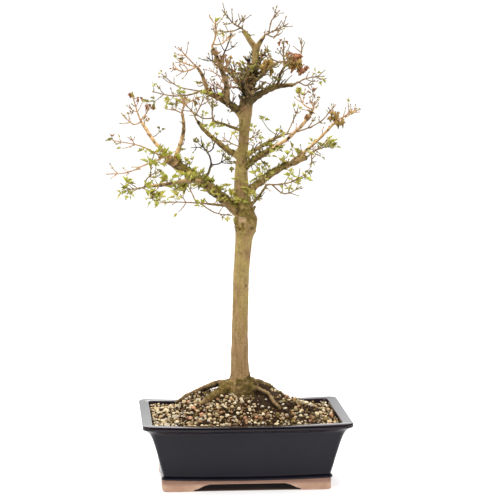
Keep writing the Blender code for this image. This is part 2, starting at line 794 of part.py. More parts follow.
def leaf_frames(points, count, rng):
    """Places and directions of the leaves at a twig's tip, as matrices with the leaf's length along Z."""
    total = length_of(points)
    along = (points[-1] - points[-2]).normalized()
    frames = []
    across = Matrix.Rotation(rng.uniform(0, math.pi), 3, along) @ along.orthogonal().normalized()
    for number in range(count):
        root, _ = place_on(points, total - (LEAF_SINK + number * LEAF_STAGGER) * MM)
        side = 1 - 2 * number
        spread = math.radians(rng.uniform(*LEAF_SPREAD))
        size = rng.uniform(*LEAF_SIZES)
        way = (along * math.cos(spread) + across * (side * math.sin(spread))).normalized()
        flat = way.cross(Vector((0, 0, 1)) + along * LEAF_LEAN).normalized()
        up = flat.cross(way).normalized()
        turn = Matrix((flat, up, way)).transposed().to_4x4()
        place = root + way * (LEAF_LENGTH * MM * size / 2)
        scale = Matrix.Diagonal((LEAF_WIDTH * MM * size, LEAF_THICK * MM, LEAF_LENGTH * MM * size, 1))
        frames.append(Matrix.Translation(place) @ turn @ scale)
    return frames


def leaf_object(name, frame, tools):
    """A leaf of eight faces: a four-sided diamond, thickest at its middle."""
    bm = bmesh.new()
    bmesh.ops.create_uvsphere(bm, u_segments=4, v_segments=2, radius=0.5, matrix=frame)
    return object_of(name, mesh_of(name, bm), tools, LEAF)


def make_mass(name, spines, spaces, section, parts, tools):
    """A mass of twigs and leaves: the stem, its arms, opposite side twigs and a pair of leaves a tip."""
    ways, rng = spines[name]
    node = "leader_twigs" if name == "trunk" else f"{name}_twigs"
    stem_radii = taper(STEM_THICK, STEM_TIP, len(ways[0]))
    stem = tube_object(node, Tube(ways[0], stem_radii), 0, parts, TWIG_BARK, section)
    pieces = []
    tips = [(ways[0], 2)]
    shared = SHARED_STRETCH * MM

    def add_twig(points, first, last, leaves):
        if spaces.allows(name, points, first / 2 * MM, shared):
            label = f"{node}_{len(pieces)}"
            pieces.append(tube_object(label, rooted(points, first, last), 0, tools, TWIG_BARK, section))
            tips.append((points, leaves))
            return True
        return False

    grown_ways = [ways[0]] + [arm for arm in ways[1:] if add_twig(arm, ARM_THICK, STEM_TIP, 2)]
    for way in grown_ways:
        nodes = STEM_NODES if way is ways[0] else ARM_NODES
        for twig in side_twigs(way, nodes, rng):
            add_twig(twig, TWIG_THICK, TWIG_TIP, int(rng.random() < TWIG_LEAF_CHANCE))
    for points, leaves in tips:
        for frame in leaf_frames(points, leaves, rng):
            ends = [frame @ Vector((0, 0, 0)), frame @ Vector((0, 0, 0.5))]
            if spaces.allows(name, ends, LEAF_WIDTH / 2 * MM, 0):
                pieces.append(leaf_object(f"{node}_{len(pieces)}", frame, tools))
    fuse(stem, pieces)
    return stem


def twig_section(tools):
    """The three-sided outline that the twigs follow."""
    curve = bpy.data.curves.new("twig_section", "CURVE")
    curve.dimensions = "2D"
    spline = curve.splines.new("POLY")
    spline.points.add(2)
    for number, control in enumerate(spline.points):
        angle = math.radians(120 * number)
        control.co = (math.cos(angle), math.sin(angle), 0, 1)
    spline.use_cyclic_u = True
    section = bpy.data.objects.new("twig_section", curve)
    tools.objects.link(section)
    as_cutter(section)
    return section


def main():
    """Makes the pot, the soil, the tree and its masses of twigs, and sets them on one empty."""
    clear_scene()
    parts = new_collection("trident_maple_bonsai")
    tools = new_collection("tools")
    make_pot(parts)
    make_foot(parts, tools)
    soil = make_soil(parts)
    tubes = limb_tubes()
    make_trunk(tubes, parts, tools, soil)
    for bough in BOUGHS:
        make_bough(bough, tubes, parts, tools)
    section = twig_section(tools)
    spines = {name: spine_of(name, tubes) for name in MASSES}
    spaces = Spaces({name: ways for name, (ways, _) in spines.items()}, tubes)
    for name in MASSES:
        make_mass(name, spines, spaces, section, parts, tools)
    tools.hide_render = True
    bonsai = bpy.data.objects.new("bonsai", None)
    parts.objects.link(bonsai)
    bonsai.location = PLAN_OFFSET
    for obj in list(parts.objects):
        if obj.type == "MESH":
            obj.parent = bonsai


main()
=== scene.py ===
"""The looks of a potted trident maple bonsai in early spring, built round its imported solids.

The glazed shell, the gravel, the wood with its bark and the crown of fine twigs, buds and young leaves
are made here, and each stands for its own nodes. Sizes are in millimetres where a name or a table says
mm, and MM puts them into metres. The pot's centre is the centre of the plan until PLAN_OFFSET is added.
Azimuths are degrees from +X towards +Y, and rises are degrees above level.
"""

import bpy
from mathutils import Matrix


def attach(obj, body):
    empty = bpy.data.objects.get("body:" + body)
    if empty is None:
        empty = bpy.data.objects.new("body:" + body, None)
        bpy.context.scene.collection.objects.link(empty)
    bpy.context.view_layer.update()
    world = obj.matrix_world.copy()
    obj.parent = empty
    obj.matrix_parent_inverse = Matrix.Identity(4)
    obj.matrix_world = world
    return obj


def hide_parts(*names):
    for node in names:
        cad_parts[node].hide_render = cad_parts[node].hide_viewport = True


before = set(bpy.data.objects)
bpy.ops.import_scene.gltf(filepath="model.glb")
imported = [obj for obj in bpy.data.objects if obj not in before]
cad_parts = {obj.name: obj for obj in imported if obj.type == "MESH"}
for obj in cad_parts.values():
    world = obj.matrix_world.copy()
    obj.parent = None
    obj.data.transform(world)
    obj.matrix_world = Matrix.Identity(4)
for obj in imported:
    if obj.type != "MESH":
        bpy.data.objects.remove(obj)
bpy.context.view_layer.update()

import logging
import math
import random
from dataclasses import dataclass, field
from enum import Enum
from typing import Iterable, Iterator, NamedTuple, Sequence

import bmesh
import bpy
import numpy as np
from mathutils import Matrix, Vector, noise
from mathutils.kdtree import KDTree

LOG = logging.getLogger("maple")
MM = 0.001
GAP = 0.3 * MM
DOUBLES = 0.01 * MM
PLAN_OFFSET = Vector((12.0, 3.0, 0.0)) * MM
BODY = "root"

Colour = tuple[float, float, float]
Pair = tuple[float, float]
Line = list[Vector]
Mossy = list[tuple[Vector, Vector]]
Rng = random.Random
BMesh = bmesh.types.BMesh
Socket = bpy.types.NodeSocket
Material = bpy.types.Material


def linear(colour: Colour) -> tuple[float, ...]:
    """The linear value, with an alpha of 1, of a colour given from 0 to 255 as the eye sees it."""
    parts = [part / 255 for part in colour]
    return (*[part / 12.92 if part < 0.04 else ((part + 0.055) / 1.055) ** 2.4 for part in parts], 1.0)


def heading(azimuth: float, rise: float) -> Vector:
    """The direction with this azimuth and rise, in degrees."""
    flat, steep = math.radians(azimuth), math.radians(rise)
    return Vector((math.cos(steep) * math.cos(flat), math.cos(steep) * math.sin(flat), math.sin(steep)))


def strayed(rng: Rng, reach: float) -> Vector:
    """A chance offset of up to the reach along each axis."""
    return Vector([rng.uniform(-reach, reach) for _ in range(3)])


def length_of(points: Line) -> float:
    """The length of the way through the points."""
    return sum((b - a).length for a, b in zip(points, points[1:]))


def place_on(points: Line, distance: float) -> tuple[Vector, Vector]:
    """Finds a place on a line.

    Args:
        points: The line's points.
        distance: How far along it, in metres.

    Returns:
        The point there and the line's direction.
    """
    left = distance
    for a, b in zip(points, points[1:]):
        span = (b - a).length
        if left <= span:
            return a + (b - a) * (left / span), (b - a).normalized()
        left -= span
    return points[-1], (points[-1] - points[-2]).normalized()


def ramp(value: float, low: float, high: float) -> float:
    """A smooth step from 0 at the low value to 1 at the high one."""
    share = min(1.0, max(0.0, (value - low) / (high - low)))
    return share * share * (3 - 2 * share)


def taper(first: float, last: float, count: int) -> list[float]:
    """Radii in metres that fall evenly from one diameter in mm to another."""
    return [(first + (last - first) * i / (count - 1)) / 2 * MM for i in range(count)]


class Tube(NamedTuple):
    """The centre line of a limb or twig and its radii, in metres."""

    points: Line
    radii: list[float]


def flowing(tube: Tube, steps: int) -> Tube:
    """Runs a smooth curve through a tube's points.

    Args:
        tube: The tube with few points.
        steps: How many points each span becomes.

    Returns:
        The tube with more points, through the same places.
    """
    ends = [tube.points[0], *tube.points, tube.points[-1]]
    points: Line = []
    radii: list[float] = []
    for number, (first, last) in enumerate(zip(tube.radii, tube.radii[1:])):
        p, q, r, s = ends[number : number + 4]
        for step in range(steps):
            t = step / steps
            bend = (2 * p - 5 * q + 4 * r - s) * t**2 + (3 * q - p - 3 * r + s) * t**3
            points.append(0.5 * (2 * q + (r - p) * t + bend))
            radii.append(first + (last - first) * t)
    return Tube(points + [tube.points[-1]], radii + [tube.radii[-1]])


class Limb(NamedTuple):
    """A bough: what carries it, how far along that, its heading, and its length and diameters in mm."""

    name: str
    carrier: str
    at: float
    azimuth: float
    turn: float
    rise: float
    lift: float
    length: float
    base: float
    tip: float


class Shoot(NamedTuple):
    """A stem or an arm of a mass of twigs: its place along the stem as a share, heading and length in mm."""

    at: float
    azimuth: float
    turn: float
    rise: float
    lift: float
    length: float


class Twig(NamedTuple):
    """A grown twig: its line, its diameters in mm at the foot and the tip, and its order from the stem."""

    points: Line
    base: float
    tip: float
    order: int


# Trunk: its heights, the centre's offset across and in depth there, and its diameter, in mm
TRUNK = (
    (120, -4.5, 0, 54), (134, -4.5, 0, 47), (143, -4.5, 0, 39), (152, -4.5, 0, 30), (176, -5, 1, 26),
    (235, -4.3, 2, 23.6), (308, -2, 2, 23.4), (352, 1.1, 1, 24.4), (368, 3.6, 0, 31), (380, 4.2, 0, 33),
    (394, 1.8, 0, 27), (425, -1.8, 0, 22.4), (455, -2.6, -1, 18), (484, 0, -1, 14.4), (512, 2, 0, 15.6),
    (534, 3.4, 0, 19.6), (552, 5, 0, 20), (570, 9, 0, 15.6), (600, 16.4, 0, 11.4), (626, 17.6, 0, 9.6),
    (640, 9.6, 0, 7.8), (654, 0.2, 0, 6.2),
)

# Surface roots: the x, y and z of their points and their diameters there, in mm
ROOTS = (
    ((-9, 1, 146, 15), (-25, 4, 142, 11), (-37, 7, 141.0, 10), (-55, 10, 134.2, 9), (-70, 14, 126.8, 8),
     (-85, 18, 118.4, 7), (-97, 21, 109, 6)),
    ((-8, -2, 142, 22), (-21, -5, 139, 19), (-33, -12, 132, 16), (-45, -19, 126.6, 12.6), (-56, -25, 121, 9),
     (-66, -29, 114, 6)),
    ((-8, -4, 138, 12), (0, -9, 136, 9.6), (9, -12, 136, 8.6), (19, -15, 135.4, 7.6), (29, -19, 132.8, 6.4),
     (36, -28, 128.6, 5.6), (40.6, -43, 121.8, 5.8), (46, -50, 117, 5.4), (50, -54, 112, 4)),
    ((0, 1, 145, 15), (10, 2, 144, 12), (22.3, 6, 141.6, 10.4), (34.5, 10, 136, 9.4), (46.6, 14, 128.6, 8),
     (58.8, 18, 120.4, 6.4), (70, 21, 111, 5)),
    ((-6, 8, 140, 18), (-8, 22, 135, 14), (-10, 36, 131, 12), (-11, 50, 125.6, 9.6), (-12, 62, 119, 7)),
    ((28, 6, 138, 5), (34, -1, 134, 3.6), (42, -5, 128.6, 3), (50, -6, 123.6, 2.6), (58, -4, 117, 2)),
    ((20, 4, 139, 4), (26, -4, 133.6, 3), (34, -9, 129, 2.6), (44, -12, 122, 2.2), (50, -17, 116.6, 1.8)),
    ((-30, -10, 131, 7), (-38, -6, 128.6, 4.6), (-48, -5, 126, 3.4), (-58, -8, 121, 2.4)),
)


BOUGHS = [Limb(*row) for row in (
    ("low_left", "trunk", 261, -165, 16, 46, -17, 156, 15.0, 12.4),
    ("low_left_rise", "low_left", 143, 71, -70, 42, 59, 77, 7.2, 4.4),
    ("low_left_far", "low_left", 144, 174, -48, 47, -1, 76, 6.4, 4.2),
    ("low_left_front", "low_left", 90, -90, -90, 11, -21, 126, 6.4, 4.4),
    ("low_left_dark", "low_left", 88, 55, 22, 40, -15, 41, 4.6, 3.2),
    ("low_left_back", "trunk", 277, 127, 2, 8, -8, 76, 5.4, 3.4),
    ("low_right", "trunk", 294, 20, -5, 40, -24, 117, 11.4, 8.2),
    ("low_right_far", "low_right", 86, 21, 1, 34, 6, 98, 5.6, 3.6),
    ("low_right_front", "trunk", 273, -55, -12, 30, 10, 70, 5.0, 3.4),
    ("mid_left", "trunk", 352, 155, -9, 22, 27, 89, 9.6, 4.6),
    ("mid_left_front", "trunk", 390, -134, 1, 16, -2, 71, 5.0, 3.2),
    ("mid_right", "trunk", 334, -45, 5, 37, -16, 68, 10.0, 7.0),
    ("mid_right_tan", "mid_right", 62, -25, -14, 29, 26, 86, 5.6, 5.0),
    ("mid_right_back", "trunk", 351, 41, -4, 24, -8, 84, 7.0, 4.0),
    ("high_left", "trunk", 410, -153, -1, 42, -24, 79, 12.0, 6.8),
    ("high_left_rise", "high_left", 73, -137, 9, 80, -45, 43, 6.0, 4.2),
    ("high_left_tan", "high_left", 40, -78, -90, 52, 15, 90, 9.6, 4.8),
    ("high_left_back", "trunk", 441, 129, 6, 42, -7, 69, 7.0, 4.0),
    ("high_right", "trunk", 430, 30, -7, 36, -34, 85, 11.6, 5.8),
    ("high_right_rise", "high_right", 60, -89, 21, 47, -9, 42, 5.0, 3.4),
    ("high_right_front", "trunk", 454, -58, 2, 33, -5, 70, 6.0, 3.6),
    ("crown_right", "trunk", 507, -41, 4, 55, -4, 26, 7.0, 4.6),
    ("low_back", "trunk", 318, 84, 14, 30, -8, 84, 8.0, 4.6),
    ("high_back", "trunk", 422, 88, -12, 30, 6, 66, 6.8, 4.0),
)]

# Masses of twigs by the limb that each grows on from: the stem first, then the arms that leave it
MASSES = {
    "low_left": ((0, 138, 90, -28, 24, 96), (0.06, -133, -32, 38, -38, 85)),
    "low_left_rise": ((0, 52, 13, 57, 28, 20), (0.05, -152, 1, 15, 14, 20), (0.35, 47, -19, 53, -49, 24)),
    "low_left_far": ((0, -156, 1, 69, 7, 36), (0.05, -102, -90, -30, 88, 37), (0.12, 52, -8, 23, 41, 26)),
    "low_left_front": (
        (0, -176, 7, -16, 21, 26), (0.12, -100, 90, 62, -39, 36), (0.25, -48, 4, -20, -12, 27),
    ),
    "low_left_dark": ((0, -114, -53, 82, -54, 39), (0.04, 46, -29, -24, 81, 35), (0.55, -4, 73, 1, 90, 18)),
    "low_left_back": ((0, 152, 0, -2, 4, 75), (0.16, 30, -19, -50, 50, 56), (0.24, 113, 0, 40, 0, 43)),
    "low_right": ((0, 62, 1, 10, 3, 52), (0.3, 83, 0, -39, 0, 28), (0.4, -10, 0, 20, 0, 30)),
    "low_right_far": ((0, 7, 1, 31, 11, 30), (0.25, 122, 0, 29, 0, 24), (0.4, -40, 0, 30, 0, 30)),
    "low_right_front": ((0, -30, -11, 0, 31, 65), (0.16, -35, 24, -60, 120, 48)),
    "mid_left": ((0, 135, 13, 53, -15, 37), (0.2, 46, 16, 36, 12, 33)),
    "mid_left_front": ((0, -99, 8, 62, 0, 34), (0.2, -139, 14, -5, 41, 38)),
    "mid_right_tan": ((0, -81, -11, 51, 4, 12), (0.2, 126, 12, 7, 60, 36)),
    "mid_right_back": ((0, 17, 7, 14, 27, 99), (0.1, 56, 5, 35, 4, 51)),
    "high_left": ((0, -115, -90, -11, 25, 82), (0.08, -168, -54, 6, 38, 64)),
    "high_left_rise": ((0, -141, -39, -28, 53, 39), (0.1, 144, -2, 2, 27, 29), (0.06, -133, -5, 25, 16, 48)),
    "high_left_tan": ((0, 28, 90, 52, 41, 39), (0.12, 29, 22, -25, 86, 35)),
    "high_left_back": ((0, 27, 4, 59, 14, 47), (0.12, -140, -12, -24, 72, 24)),
    "high_right": ((0, 32, -4, 23, -26, 52), (0.2, 36, -4, -33, 50, 28)),
    "high_right_rise": ((0, -138, 55, 78, 4, 33), (0.2, -9, 120, -6, 96, 52)),
    "high_right_front": ((0, -59, 3, 18, -18, 32), (0.2, -133, 20, 17, 22, 41)),
    "crown_right": ((0, -24, 0, 30, -1, 35), (0.22, 61, -40, 85, -43, 37), (0.14, 64, -8, -10, 23, 48)),
    "trunk": ((0, -138, 7, 22, 24, 50), (0.1, 126, 22, -17, 28, 37), (0.22, -30, -7, 38, 23, 13)),
    "low_back": ((0, 60, 30, 20, 20, 44), (0.3, 130, 0, 10, 20, 40), (0.5, 20, 0, 30, 0, 30)),
    "high_back": ((0, 80, 20, 30, 10, 44), (0.3, 140, 0, 20, 20, 36), (0.5, 30, 0, 30, 10, 34)),
}


@dataclass
class Growth:
    """The source's growth rule: the limbs, the stems of the masses, and the space that each mass keeps to."""

    seed: int = 47
    mass_seeds: int = 4700
    fine_seeds: int = 9100
    bough_steps: int = 6
    bough_kink: float = 4.0
    stem_steps: int = 3
    arm_steps: int = 2
    stem_lead: float = 3.0
    stem_kink: float = 7.0
    stem_thick: float = 3.4
    stem_tip: float = 1.6
    arm_thick: float = 2.6
    twig_thick: float = 2.0
    twig_tip: float = 1.2
    twig_length: float = 23.0
    stem_nodes: tuple[float, ...] = (0.45, 0.82)
    arm_nodes: tuple[float, ...] = (0.62,)
    twig_spread: Pair = (34.0, 58.0)
    twig_upturn: float = 0.15
    twig_stray: float = 0.4
    twig_sizes: Pair = (0.65, 1.15)
    twig_shortening: float = 0.4
    space_reach: float = 32.0
    space_gap: float = 1.6
    limb_clear: float = 1.8
    site_step: float = 3.0
    shared_stretch: float = 6.8
    tubes: dict[str, Tube] = field(default_factory=dict)
    spines: dict[str, tuple[list[Line], Rng]] = field(default_factory=dict)
    sites: dict[str, KDTree] = field(default_factory=dict)
    stretches: list[tuple[Vector, Vector, float, float]] = field(default_factory=list)

    def walk(self, start: Vector, shoot: Limb | Shoot, steps: int, kink: float, rng: Rng) -> Line:
        """Walks out a limb that turns and lifts evenly on its way, with small kinks at its nodes.

        Args:
            start: Where it starts.
            shoot: Its heading, turn, lift and length.
            steps: How many points it gets after the first.
            kink: The largest kink in degrees.
            rng: The source of its kinks.

        Returns:
            The limb's points.
        """
        points = [start]
        for step in range(steps):
            share = (step + 0.5) / steps
            azimuth = shoot.azimuth + shoot.turn * share + rng.uniform(-kink, kink)
            rise = shoot.rise + shoot.lift * share + rng.uniform(-kink, kink)
            points.append(points[-1] + heading(azimuth, rise) * (shoot.length * MM / steps))
        return points

    def grow(self) -> None:
        """Grows the limbs and the stems in the source's order, and settles the spaces."""
        line = [Vector((x, y, z)) * MM for z, x, y, _ in TRUNK]
        self.tubes = {"trunk": Tube(line, [diameter / 2 * MM for *_, diameter in TRUNK])}
        for number, bough in enumerate(BOUGHS):
            rng = Rng(self.seed + number)
            start, _ = place_on(self.tubes[bough.carrier].points, bough.at * MM)
            points = self.walk(start, bough, self.bough_steps, self.bough_kink, rng)
            self.tubes[bough.name] = Tube(points, taper(bough.base, bough.tip, len(points)))
        for number, name in enumerate(MASSES):
            self.spines[name] = self.spine(name, Rng(self.mass_seeds + number))
            self.sites[name] = tree_of(spread_points(self.spines[name][0], self.site_step * MM))
        for tube in self.tubes.values():
            self.stretches += zip(tube.points, tube.points[1:], tube.radii, tube.radii[1:])

    def spine(self, name: str, rng: Rng) -> tuple[list[Line], Rng]:
        """Grows the stem and the arms of a mass.

        Args:
            name: The limb that the mass grows on from.
            rng: The source of its kinks.

        Returns:
            The lines of the stem and its arms, and the generator that the side twigs go on with.
        """
        limb = self.tubes[name].points
        ahead = (limb[-1] - limb[-2]).normalized()
        start = limb[-1] + ahead * GAP
        stem, *arms = [Shoot(*row) for row in MASSES[name]]
        lead = start + ahead * (self.stem_lead * MM)
        ways = [[start] + self.walk(lead, stem, self.stem_steps, self.stem_kink, rng)]
        for arm in arms:
            foot, _ = place_on(ways[0], arm.at * length_of(ways[0]))
            ways.append(self.walk(foot, arm, self.arm_steps, self.stem_kink, rng))
        return ways, rng

    def in_space(self, name: str, point: Vector) -> bool:
        """Whether a point lies in a mass's share of the crown.

        Args:
            name: The mass.
            point: The point.

        Returns:
            True if no other mass lies nearer.
        """
        own = self.sites[name].find(point)[2]
        if own > self.space_reach * MM:
            return False
        gap = own + self.space_gap * MM
        return all(other == name or site.find(point)[2] >= gap for other, site in self.sites.items())

    def clear_of_limbs(self, point: Vector, radius: float) -> bool:
        """Whether a ball lies clear of the trunk and the boughs.

        Args:
            point: Its middle.
            radius: Its radius.

        Returns:
            True if it does.
        """
        for a, b, first, last in self.stretches:
            along = b - a
            share = min(1.0, max(0.0, (point - a).dot(along) / along.length_squared))
            limb = first + (last - first) * share
            if (point - a - along * share).length < limb + radius + self.limb_clear * MM:
                return False
        return True

    def allows(self, name: str, points: Line, radius: float, shared: float) -> bool:
        """Whether a way keeps to its space.

        Args:
            name: The mass that it belongs to.
            points: The way's points.
            radius: Its radius in metres.
            shared: The first stretch in metres, which needs no room of its own.

        Returns:
            True if every point past that stretch lies in the space and clear of the limbs.
        """
        covered = 0.0
        last = points[0]
        for point in spread_points([points], self.site_step * MM):
            covered += (point - last).length
            last = point
            if covered >= shared and not (self.in_space(name, point) and self.clear_of_limbs(point, radius)):
                return False
        return True

    def side_twigs(self, points: Line, nodes: Sequence[float], longest: float, rng: Rng) -> list[Line]:
        """Grows opposite pairs of twigs at the nodes of a stem, each pair turned a right angle from the last.

        Args:
            points: The stem's points.
            nodes: The nodes' places as shares of its length.
            longest: The twigs' length in mm before it is varied.
            rng: The source of their directions and lengths.

        Returns:
            The foot and the tip of each twig.
        """
        total = length_of(points)
        turned = rng.uniform(0, math.pi)
        twigs = []
        for number, share in enumerate(nodes):
            foot, along = place_on(points, share * total)
            across = along.orthogonal().normalized()
            angle = turned + number * math.pi / 2 + rng.uniform(-self.twig_stray, self.twig_stray)
            across = Matrix.Rotation(angle, 3, along) @ across
            for side in (1, -1):
                spread = math.radians(rng.uniform(*self.twig_spread))
                way = along * math.cos(spread) + across * (side * math.sin(spread))
                length = longest * MM * rng.uniform(*self.twig_sizes) * (1 - self.twig_shortening * share)
                upward = (way + Vector((0, 0, self.twig_upturn))).normalized()
                twigs.append([foot, foot + upward * length])
        return twigs


def spread_points(ways: Iterable[Line], step: float) -> Iterator[Vector]:
    """Points along ways.

    Args:
        ways: The ways.
        step: How far apart the points may lie.

    Yields:
        The points.
    """
    for points in ways:
        for a, b in zip(points, points[1:]):
            count = max(1, math.ceil((b - a).length / step))
            for i in range(count):
                yield a.lerp(b, i / count)
        yield points[-1]


def tree_of(points: Iterable[Vector]) -> KDTree:
    """Sorts points for a search of the nearest.

    Args:
        points: The points.

    Returns:
        Their search tree.
    """
    listed = list(points)
    tree = KDTree(len(listed))
    for number, point in enumerate(listed):
        tree.insert(point, number)
    tree.balance()
    return tree


class Nodes:
    """A node tree under construction, with short ways to add and join nodes."""

    def __init__(self, tree: bpy.types.NodeTree) -> None:
        """Keeps the tree that the nodes go into."""
        self.tree = tree

    def add(self, kind: str, inputs: dict | None = None, **settings: object) -> bpy.types.Node:
        """Adds a node.

        Args:
            kind: The node's type.
            inputs: Values or sockets for its inputs, by name or number.
            settings: The node's own settings.

        Returns:
            The new node.
        """
        node = self.tree.nodes.new(kind)
        for name, value in settings.items():
            setattr(node, name, value)
        self.feed(node, inputs or {})
        return node

    def feed(self, node: bpy.types.Node, inputs: dict) -> None:
        """Joins a node's inputs to sockets, or sets their values.

        Args:
            node: The node.
            inputs: Values or sockets, by the inputs' names or numbers.
        """
        for name, value in inputs.items():
            if isinstance(value, Socket):
                self.tree.links.new(value, node.inputs[name])
            else:
                node.inputs[name].default_value = value

    def mix(self, factor: object, first: object, second: object) -> Socket:
        """A colour between two others, each of them a socket or a colour as the eye sees it."""
        pair = [linear(tint) if isinstance(tint, tuple) else tint for tint in (first, second)]
        return self.add("ShaderNodeMix", {0: factor, 6: pair[0], 7: pair[1]}, data_type="RGBA").outputs[2]

    def coated(self, colour: object, *coats: tuple[object, object]) -> Socket:
        """Lays coats over a colour.

        Args:
            colour: The colour below them.
            coats: How much of each coat lies there, and its tint.

        Returns:
            The socket with the last colour.
        """
        for amount, tint in coats:
            colour = self.mix(amount, colour, tint)
        return colour

    def times(self, first: object, second: object, operation: str = "MULTIPLY") -> Socket:
        """The product of two numbers, or another sum on them, kept between 0 and 1."""
        inputs = {0: first, 1: second}
        return self.add("ShaderNodeMath", inputs, operation=operation, use_clamp=True).outputs[0]

    def inverse(self, value: object) -> Socket:
        """What the value leaves of 1."""
        return self.times(1.0, value, "SUBTRACT")

    def between(
        self, value: object, low: float, high: float, to_low: object = 0.0, to_high: object = 1.0
    ) -> Socket:
        """The value's place between two bounds, carried over to two others."""
        inputs = {0: value, 1: low, 2: high, 3: to_low, 4: to_high}
        return self.add("ShaderNodeMapRange", inputs).outputs[0]


FIBRE_STRETCH = (1.0, 1.0, 0.2)


class Effect(Enum):
    """The shader node groups that several finishes share."""

    MOTTLE = "soft_mottle"
    FIBRE = "fibre_streaks"
    SPECKS = "fine_specks"


MOTTLE, FIBRE, SPECKS = Effect


def effect_group(effect: Effect) -> bpy.types.NodeTree:
    """Finds or builds a shared group, with a vector, a scale and two bounds in and a mask out.

    Args:
        effect: Which group.

    Returns:
        The group's node tree.
    """
    known = bpy.data.node_groups.get(effect.value)
    if known:
        return known
    tree = bpy.data.node_groups.new(effect.value, "ShaderNodeTree")
    tree.interface.new_socket(name="Vector", in_out="INPUT", socket_type="NodeSocketVector")
    for name, value in (("Scale", 100.0), ("Low", 0.4), ("High", 0.6)):
        socket = tree.interface.new_socket(name=name, in_out="INPUT", socket_type="NodeSocketFloat")
        socket.default_value = value
    tree.interface.new_socket(name="Mask", in_out="OUTPUT", socket_type="NodeSocketFloat")
    nodes = Nodes(tree)
    given = nodes.add("NodeGroupInput").outputs
    inputs = {"Vector": given["Vector"], "Scale": given["Scale"]}
    if effect is FIBRE:
        stretched = {"Vector": given["Vector"], "Scale": FIBRE_STRETCH}
        inputs["Vector"] = nodes.add("ShaderNodeMapping", stretched).outputs[0]
    if effect is SPECKS:
        source = nodes.add("ShaderNodeTexVoronoi", inputs).outputs["Distance"]
    else:
        source = nodes.add("ShaderNodeTexNoise", {**inputs, "Detail": 3.0, "Roughness": 0.6}).outputs[0]
    mask = nodes.add("ShaderNodeMapRange", {0: source, 1: given["Low"], 2: given["High"]}).outputs[0]
    nodes.add("NodeGroupOutput", {"Mask": mask})
    return tree


class Painter(Nodes):
    """A material under construction."""

    def __init__(self, name: str) -> None:
        """Starts a material.

        Args:
            name: Its name.
        """
        self.material = bpy.data.materials.new(name)
        self.material.use_nodes = True
        super().__init__(self.material.node_tree)
        self.shader = self.tree.nodes["Principled BSDF"]
        self.place = self.add("ShaderNodeTexCoord").outputs["Object"]

    def mask(self, effect: Effect, scale: float, low: float, high: float, where: object = None) -> Socket:
        """A mask from a shared effect: its scale per metre, and its values that give 0 and 1."""
        inputs = {"Vector": where or self.place, "Scale": scale, "Low": low, "High": high}
        return self.add("ShaderNodeGroup", inputs, node_tree=effect_group(effect)).outputs["Mask"]

    def field(self, name: str, output: str = "Fac") -> Socket:
        """A value that the mesh carries at its points."""
        return self.add("ShaderNodeAttribute", attribute_name=name).outputs[output]

    def bump(self, height: object, strength: float, distance: float, under: object = None) -> Socket:
        """Roughens the shading normal.

        Args:
            height: The pattern's height.
            strength: How much of it shows.
            distance: Its depth in mm.
            under: A normal that it adds to.

        Returns:
            The normal's socket.
        """
        inputs = {"Height": height, "Strength": strength, "Distance": distance * MM}
        if under is not None:
            inputs["Normal"] = under
        return self.add("ShaderNodeBump", inputs).outputs[0]

    def finish(self, colour: object, roughness: object, normal: object, **plain: float) -> Material:
        """Joins what was made to the shader.

        Args:
            colour: The base colour's socket.
            roughness: The roughness, as a socket or a number.
            normal: The normal's socket.
            plain: Values of other sockets, with _ for each space in a name.

        Returns:
            The finished material.
        """
        rest = {name.replace("_", " "): value for name, value in plain.items()}
        self.feed(self.shader, {"Base Color": colour, "Roughness": roughness, "Normal": normal, **rest})
        return self.material


@dataclass(frozen=True)
class Glaze:
    """The near-black blue glaze: deep and glossy, with a faint cloud and the ripple of a fired coat."""

    name: str = "dark_glaze"
    deep: Colour = (9, 6, 16)
    thin: Colour = (15, 12, 23)
    worn: Colour = (46, 30, 28)

    def material(self) -> Material:
        """Builds the finish.

        Returns:
            The glaze's material.
        """
        paint = Painter(self.name)
        cloud = paint.mask(MOTTLE, 26, 0.35, 0.7)
        fleck = paint.between(paint.mask(SPECKS, 420, 0.1, 0.2), 0, 1, 0.94, 1)
        edge = paint.times(paint.field("thin_glaze"), paint.between(cloud, 0, 1, 0.55, 1))
        flecked = paint.mix(fleck, self.thin, paint.mix(cloud, self.deep, self.thin))
        colour = paint.mix(edge, flecked, self.worn)
        roughness = paint.between(paint.mask(MOTTLE, 60, 0.3, 0.7), 0, 1, 0.07, 0.13)
        ripple = paint.bump(paint.mask(MOTTLE, 70, 0.2, 0.8), 0.012, 0.5)
        pits = paint.bump(paint.mask(SPECKS, 900, 0.05, 0.3), 0.012, 0.1, ripple)
        return paint.finish(colour, roughness, pits, Specular_IOR_Level=0.24)


@dataclass(frozen=True)
class Clay:
    """Bare fired clay: pinkish and matt, with grog specks in it, and painted shade on the foot's upper band
    under the glazed ledge.
    """

    name: str = "bare_clay"
    light: Colour = (202, 167, 144)
    dark: Colour = (168, 131, 108)
    # The tint of the grog specks, and of the painted shade under the ledge
    speck_and_shade: Colour = (130, 98, 84)
    painted_shade_heights: Pair = (8 * MM, 13 * MM)

    def material(self) -> Material:
        """Builds the finish.

        Returns:
            The clay's material.
        """
        paint = Painter(self.name)
        cloud = paint.mask(MOTTLE, 40, 0.3, 0.7)
        height = paint.add("ShaderNodeSeparateXYZ", {0: paint.place}).outputs["Z"]
        specks = paint.times(paint.inverse(paint.mask(SPECKS, 700, 0.1, 0.35)), 0.4)
        # Painted shade: darker from 8 mm upwards, fully from 13 mm, where the ledge's shadow falls on the
        # foot
        low = paint.times(paint.between(height, *self.painted_shade_heights), paint.between(cloud, 0, 1, 0.7, 1))
        colour = paint.mix(cloud, self.dark, self.light)
        colour = paint.coated(colour, (specks, self.speck_and_shade), (low, self.speck_and_shade))
        grain = paint.bump(paint.mask(MOTTLE, 1400, 0.3, 0.7), 0.35, 0.25)
        return paint.finish(colour, paint.between(cloud, 0, 1, 0.78, 0.92), grain, Specular_IOR_Level=0.3)


